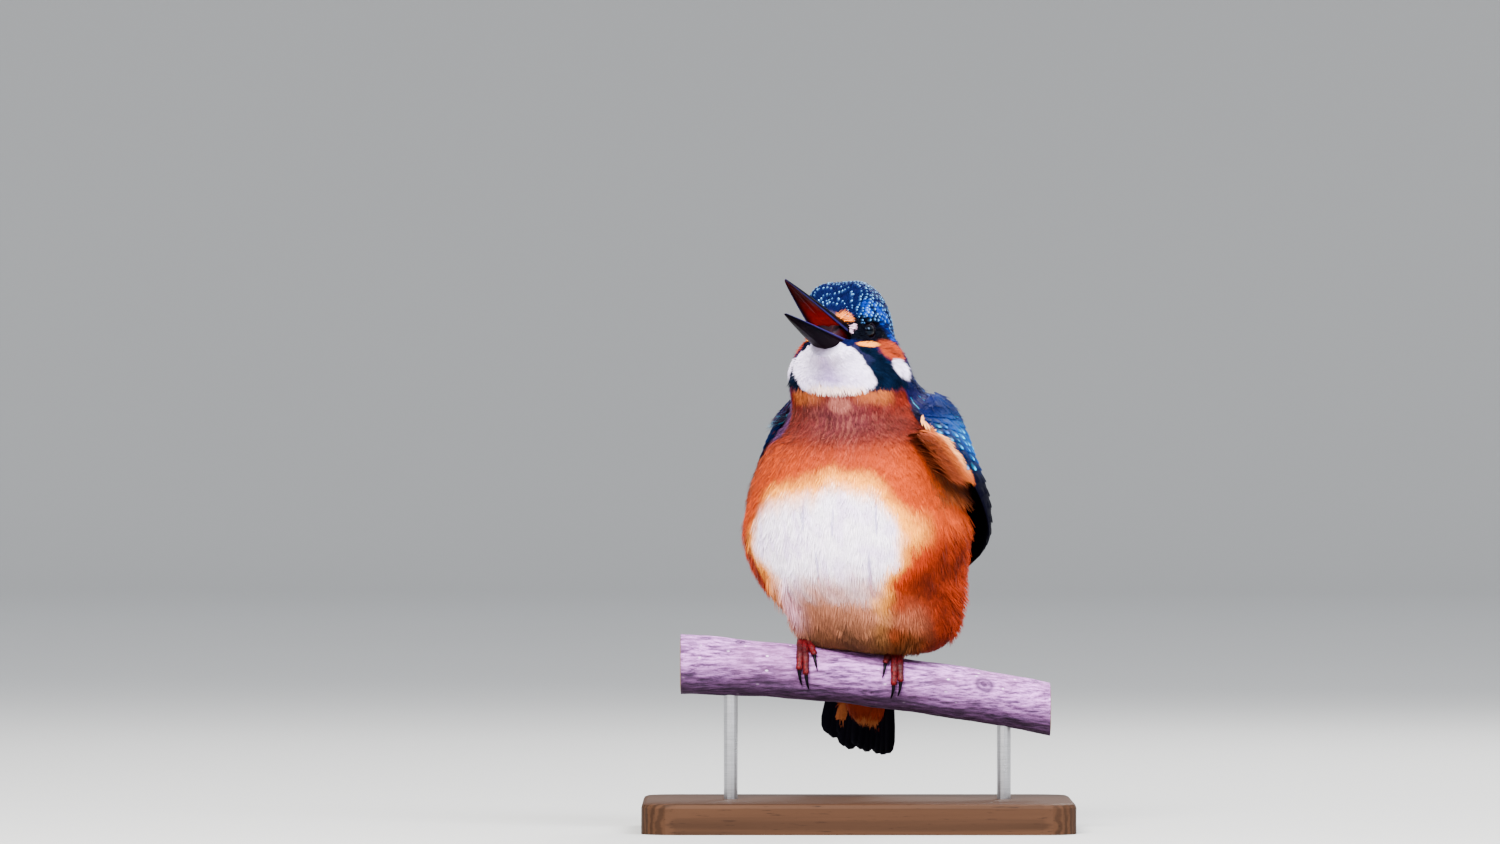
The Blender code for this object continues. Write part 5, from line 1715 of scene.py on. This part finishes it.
def from_tail(across, down, off):
    """Places across the tail, down it and off its back, to the bird's frame."""
    down_axis = np.array([-np.cos(TAIL_DOWN), 0.0, -np.sin(TAIL_DOWN)])
    back_axis = np.array([-np.sin(TAIL_DOWN), 0.0, np.cos(TAIL_DOWN)])
    left_axis = np.array([0.0, 1.0, 0.0])
    swung_down = down_axis * np.cos(TAIL_SWING) - left_axis * np.sin(TAIL_SWING)
    swung_left = left_axis * np.cos(TAIL_SWING) + down_axis * np.sin(TAIL_SWING)
    edge_axis = swung_left * np.cos(TAIL_TWIST) + back_axis * np.sin(TAIL_TWIST)
    off_axis = back_axis * np.cos(TAIL_TWIST) - swung_left * np.sin(TAIL_TWIST)
    across, down, off = (np.asarray(part)[..., None] for part in np.broadcast_arrays(across, down, off))
    return np.array(TAIL_ROOT) + across * edge_axis + down * swung_down + off * off_axis


def tail_ground(share, across):
    """The tail's arched fan as a ground: share of its length, and place across it from -1 to 1."""
    def place(share, across):
        half = (TAIL_WIDTHS[0] + (TAIL_WIDTHS[1] - TAIL_WIDTHS[0]) * np.clip(share, 0, 1.2) ** 0.8) / 2
        return from_tail(half * across, TAIL_LENGTH * share, -TAIL_ARCH * across**2 * share)
    nudge = 2e-3
    share = np.clip(share, 0.01, None)
    by_share = (place(share + nudge, across) - place(share - nudge, across)) / (2 * nudge)
    by_across = (place(share, across + nudge) - place(share, across - nudge)) / (2 * nudge)
    return place(share, across), unit(np.cross(by_share, by_across)), by_share, by_across


def on_tail(share, across):
    """The place on the tail's unwrap."""
    return np.stack([share, across / 2 + 0.5], -1)


def add_tail():
    """Tail feathers, the middle pair on top, each with a dark shaft and darker webs, and brown down below."""
    across = np.linspace(-0.90, 0.90, TAIL_FEATHERS)
    middle = 1.0 - np.abs(across)
    roots = (np.full(TAIL_FEATHERS, 0.10), across * 0.9)
    reach = TAIL_LENGTH * 0.895 - 2.0 * across**2 - 2.5 * across**6

    def tail_paint(last_first, last_second, steps, corners, _):
        shade = np.zeros((TAIL_FEATHERS, len(steps), len(corners), 4))
        above = (VANE_SECTION[:, 1] < -0.5)[None, None, :]
        colour = np.where(above[..., None], tint(3, 22, 74), tint(3, 1, 8))
        edge_web = smooth_step(0.3, 1.0, np.abs(corners))[None, None, :, None]
        shade[..., :3] = colour * (1 - 0.25 * edge_web) * (1.0 - 0.25 * steps[None, :, None, None])
        shade[..., 3] = 0.8
        return shade, np.broadcast_to(np.append(tint(3, 2, 12), 0.8), (TAIL_FEATHERS, 4))

    feathers = vanes(
        tail_ground, roots, 41, reach, 5.6, tail_paint, on_tail(*roots), depth=-0.45 * middle - 0.1,
        rise=0.02 + 0.5 * middle, thick=0.14, camber=0.10, stations=TAIL_STATIONS,
        widths=TAIL_FEATHER_WIDTHS, jitter=0.0, ease=0.0,
    )
    add_coat("tail_feathers", TAIL_COAT, "plumage_tail", feathers, replaced=("tail",))

    def brown(share, across):
        pale = 0.25 * smooth_step(0.77, 0.80, share) * fall_off(-0.35, 0.0, across)
        return painted(mix(UNDERTAIL, LINING_CREAM, pale), 0.1)

    chance = np.random.default_rng(43)
    roots = chance.uniform(0.30, 0.80, 420), chance.uniform(-0.62, 0.50, 420)
    depth = lambda share, across: -0.45 - 0.7 * smooth_step(0.2, 0.6, -across)
    down = tufts(
        roots, 43, 6.5, 0.42, barbs=8, fan=0.2, spread=2.0, rise=0.1, colours=brown, ground=tail_ground,
        depth=depth, uv=on_tail,
    )
    add_coat("coat_undertail", BODY_COAT, "plumage_body", down)


# ---------------------------------------------------------------- feet

FOOT_AT = {"left": 10.0, "right": -14.2}
LEG_TOP = {"left": (-1.0, 10.5, 56.0), "right": (-1.0, -12.5, 57.5)}
LEG_RADIUS = 1.1
TOE_RADII = (1.15, 0.85)
TOES = {                            # inwards at the start and the end, and the angles round the branch
    "inner": (0.3, 2.9, 2.0, 50.0),
    "middle": (0.2, 0.75, 0.0, 92.0),
    "outer": (-0.4, -1.1, 0.0, 84.0),
    "hind": (0.0, 0.5, 0.0, -62.0),
}
KNUCKLE_RADIUS = 1.45
CLAW_START = -4.0                   # degrees round the branch from a toe's end, to the claw's root and point
CLAW_SWEEP = 32.0
CLAW_ARCH = 0.3
CLAW_TAPER = 0.52                   # radius lost from a claw's root to its point
CLAW_POINT = 0.08
CLAW_BEND = 0.8                     # inwards at the point
TOE_GAP = 0.32


def round_branch(x, degrees, clear):
    """World places beside the branch: degrees from its top towards the front, clear of its bark."""
    turn = np.radians(degrees)
    reach = branch_radius(x) + clear
    height = branch_centre(x) + np.cos(turn) * reach
    return np.stack(np.broadcast_arrays(x, -np.sin(turn) * reach, height), -1)


def add_foot(side):
    """A leg, four scaled toes with pads at the joints, and their claws."""
    x, inward = FOOT_AT[side], -SIDES[side]
    flesh, claws = [], []
    for start, end, first, last in TOES.values():
        share = np.linspace(0.0, 1.0, 40)
        places = x + inward * (start + (end - start) * share**0.8)
        pads = 0.10 * np.cos(2 * np.pi * share * 3) - 0.05
        scutes = 0.045 * np.abs(np.sin(np.pi * share * 13)) ** 0.5
        radii = TOE_RADII[0] + (TOE_RADII[1] - TOE_RADII[0]) * share + pads * 0.6 + scutes - 0.04
        radii = radii * np.minimum(1.0, 0.25 + 4.0 * np.sqrt(np.clip(1.0 - share, 0, 1) + 0.004))
        path = round_branch(places, first + (last - first) * share, 0.12 + radii)
        flesh.append(tube(path, radii, 18, 0.92, (0.0, 1.0, 0.01)))
        share = np.linspace(0.0, 1.0, 22)
        turn = last + np.sign(last) * (CLAW_START + (CLAW_SWEEP - CLAW_START) * share)
        radii = CLAW_POINT + CLAW_TAPER * (1.0 - share) ** 0.7
        clear = 0.16 + radii + 1.3 * CLAW_ARCH * np.sin(np.pi * share)
        path = round_branch(places[-1] + inward * CLAW_BEND * share**1.8, turn, clear)
        claws.append(tube(path, radii * 0.92, 16, 1.15, (0.0, 1.0, 0.01)))
    knuckle = round_branch(np.array(x), 0.0, TOE_GAP + TOE_RADII[0] + 0.15)
    along = np.array([0.0, KNUCKLE_RADIUS, -0.35])
    share = np.linspace(-1.0, 1.0, 15)
    line = knuckle + share[:, None] * along + np.array([0, 0, -0.25]) * share[:, None] ** 2
    flesh.append(tube(line, KNUCKLE_RADIUS * np.sqrt(1.02 - 0.62 * share**2), 20))
    ankle = knuckle + (0.0, 0.0, KNUCKLE_RADIUS * 0.2)
    hip = to_world(LEG_TOP[side])
    share = np.linspace(0.0, 1.0, 44)
    scutes = 0.05 * np.abs(np.sin(np.pi * share * 12)) ** 0.5
    radii = LEG_RADIUS * np.interp(share, (0, 0.12, 0.35, 0.7, 1.0), (1.08, 0.86, 0.84, 0.98, 1.1)) + scutes
    flesh.append(tube(ankle + (hip - ankle) * share[:, None], radii, 20, 1.0, (0.0, 1.0, 0.0)))
    points = np.concatenate([part[0] for part in flesh])
    paint = painted(mix(tint(84, 4, 9), tint(50, 3, 8), smooth_step(-1.0, 1.0, grain(points, 3.0, 5))))
    nodes = (f"foot_{side}", f"leg_{side}")
    make_piece(f"foot_{side}_skin", points, joined_faces(flesh), FOOT, nodes, paint=paint)
    points = np.concatenate([part[0] for part in claws])
    paint = painted(tint(5, 4, 7) + 0 * points)
    nodes = [f"claw_{side}_{toe}" for toe in TOES]
    make_piece(f"claws_{side}", points, joined_faces(claws), CLAW, nodes, paint=paint)


# ---------------------------------------------------------------- perch and stand

BUDS = (                            # along the branch, degrees round it, size and height
    (32.8, 62.0, 2.6, 0.8),
    (-30.5, 28.0, 1.5, 0.45),
    (3.5, 118.0, 1.3, 0.35),
    (22.0, -40.0, 2.0, 0.6),
    (-18.0, -85.0, 1.8, 0.5),
)
SAWN = np.array([0.0, 0.25, 0.5, 0.75, 0.9, 0.97])      # radii of the rings on a sawn end, as shares


def add_perch():
    """The branch: circles along its bend, with long wrinkles, swellings, bud scars, and sawn ends."""
    stations = np.linspace(0.0, 1.0, 280)[:, None]
    turn = np.linspace(0.0, 360.0, 180, endpoint=False)[None, :]
    x = BRANCH_ENDS[0] + (BRANCH_ENDS[1] - BRANCH_ENDS[0]) * stations + 0 * turn
    circle = np.cos(np.radians(turn)) + 0 * x, np.sin(np.radians(turn)) + 0 * x
    strand = np.stack([x * 0.16, 8.0 * circle[0], 8.0 * circle[1]], -1)
    swelling = np.stack([x, 6 * circle[0], 6 * circle[1]], -1)
    relief = 0.10 * grain(strand, 1.5, 11) + 0.07 * grain(strand, 0.75, 12) + 0.14 * grain(swelling, 9.0, 13)
    scar = np.zeros_like(x)
    for bud_x, bud_turn, size, height in BUDS:
        over = np.radians(np.mod(turn - bud_turn + 180.0, 360.0) - 180.0) * BRANCH_RADIUS
        far = np.hypot((x - bud_x) / 1.25, over) / size
        relief = relief + height * (bell(far, 1.0) - 1.5 * bell(far, 0.32))
        ring = 0.8 * bell(far - 0.62, 0.2) + bell(far, 0.4)
        scar = np.maximum(scar, np.clip(ring, 0, 1) * (size > 1.4))
    near_foot = np.maximum.reduce([np.exp(-(((x - foot_x) / 4.5) ** 4)) for foot_x in FOOT_AT.values()])
    clear = np.minimum(relief - 0.12, 0.3)
    clear = clear - np.maximum(clear + 0.02, 0) * near_foot
    body = round_branch(x, turn + 0 * x, clear)

    def sawn(at, outward):
        """Rings over an end, domed a little and rounded at the rim."""
        middle = body[at].mean(0)
        disc = middle + (body[at] - middle) * np.maximum(SAWN, 0.02)[:, None, None]
        disc[..., 0] += outward * (0.25 * (1 - SAWN[:, None] ** 8) - 0.05)
        return disc

    rings = np.concatenate([sawn(0, -1.0), body, sawn(-1, 1.0)[::-1]])
    points, faces = sleeve(rings)
    cut = len(SAWN)
    growth = 0.5 + 0.5 * np.sin(40.0 * np.linspace(0, 1, cut))[:, None] + 0 * turn
    wood = painted(mix(tint(166, 131, 86), tint(103, 80, 59), growth), 1.0)
    # the underside is painted dark: painted shade, laid in together with the real bud scars
    under = smooth_step(0.15, 0.85, 0.5 - 0.5 * circle[0])
    bark = painted(tint(22, 12, 28) + 0 * body, np.clip(0.85 * scar + 0.85 * under**1.5, 0, 1))
    paint = np.concatenate([wood, bark, wood[::-1]])
    make_piece("branch", points, faces, BARK, ("perch",), paint=with_ends(paint))


def add_stand():
    """The plain base and rods keep their solids and get their finishes."""
    for node, finish in (("stand_base", WALNUT), ("stand_rod_left", STEEL), ("stand_rod_right", STEEL)):
        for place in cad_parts[node].material_slots:
            place.material = finish


add_head_coat()
add_body_coat()
for label in SIDES:
    add_wing(label)
    add_foot(label)
add_tail()
add_perch()
add_stand()


# ---------------------------------------------------------------- studio

LIGHTS_AIM = (0.0, 0.0, 0.09)       # metres
CAMERA_AT = (-0.028, -3.0, 0.106)
VIEW_WIDTH = 0.390                  # at the bird


def add_stage():
    """A pale round floor that bends up into a low wall all round: a profile turned about the upright axis."""
    bend = np.radians(np.linspace(0.0, 90.0, 20))
    radius = np.concatenate([[0.0, 300.0, 1200.0, 2800.0, 4000.0], 4200.0 + 1200.0 * np.sin(bend), [5400.0]])
    height = np.concatenate([np.zeros(5), 1200.0 - 1200.0 * np.cos(bend), [1700.0]]) - 0.02
    turn = np.radians(np.arange(0.0, 360.0, 5.0))
    points = np.stack([
        radius[:, None] * np.cos(turn), radius[:, None] * np.sin(turn), height[:, None] + 0 * turn,
    ], -1)
    points[0] = points[0].mean(0)
    quads = ring_quads(*points.shape[:2])[:, [0, 3, 2, 1]]
    mesh = bpy.data.meshes.new("studio_floor")
    mesh.from_pydata((points.reshape(-1, 3) * MM).tolist(), [], quads.tolist())
    mesh.shade_smooth()
    mesh.materials.append(paper_finish())
    floor = new_object("studio_floor", mesh)


def add_light(name, place, size, power, colour):
    """A round soft light turned to the bird."""
    lamp = bpy.data.lights.new(name, "AREA")
    lamp.shape, lamp.size, lamp.energy, lamp.color = "DISK", size, power, colour
    made = new_object(name, lamp)
    made.location = place
    made.rotation_euler = (Vector(LIGHTS_AIM) - Vector(place)).to_track_quat("-Z", "Y").to_euler()


def add_camera():
    """A long lens level with the bird's breast, in front of it."""
    lens = bpy.data.cameras.new("camera")
    lens.sensor_width = 36.0
    lens.lens = lens.sensor_width * CAMERA_AT[1] / -VIEW_WIDTH
    lens.clip_start, lens.clip_end = 0.1, 20.0
    made = new_object("camera", lens)
    made.location = CAMERA_AT
    made.rotation_euler = (np.radians(90.0), 0.0, 0.0)
    bpy.context.scene.camera = made


add_stage()
add_light("key", (-0.26, -1.02, 0.86), 0.60, 76.0, (1.0, 0.98, 0.95))
add_light("fill", (0.62, -0.76, 0.82), 0.58, 34.0, (0.92, 0.95, 1.0))
add_light("rim", (0.35, 0.75, 0.80), 0.5, 18.0, (1.0, 1.0, 1.0))
world = bpy.data.worlds.new("studio")
bpy.context.scene.world = world
world.use_nodes = True
world.node_tree.nodes["Background"].inputs["Color"].default_value = (0.80, 0.84, 0.92, 1.0)
world.node_tree.nodes["Background"].inputs["Strength"].default_value = 1.60
add_camera()
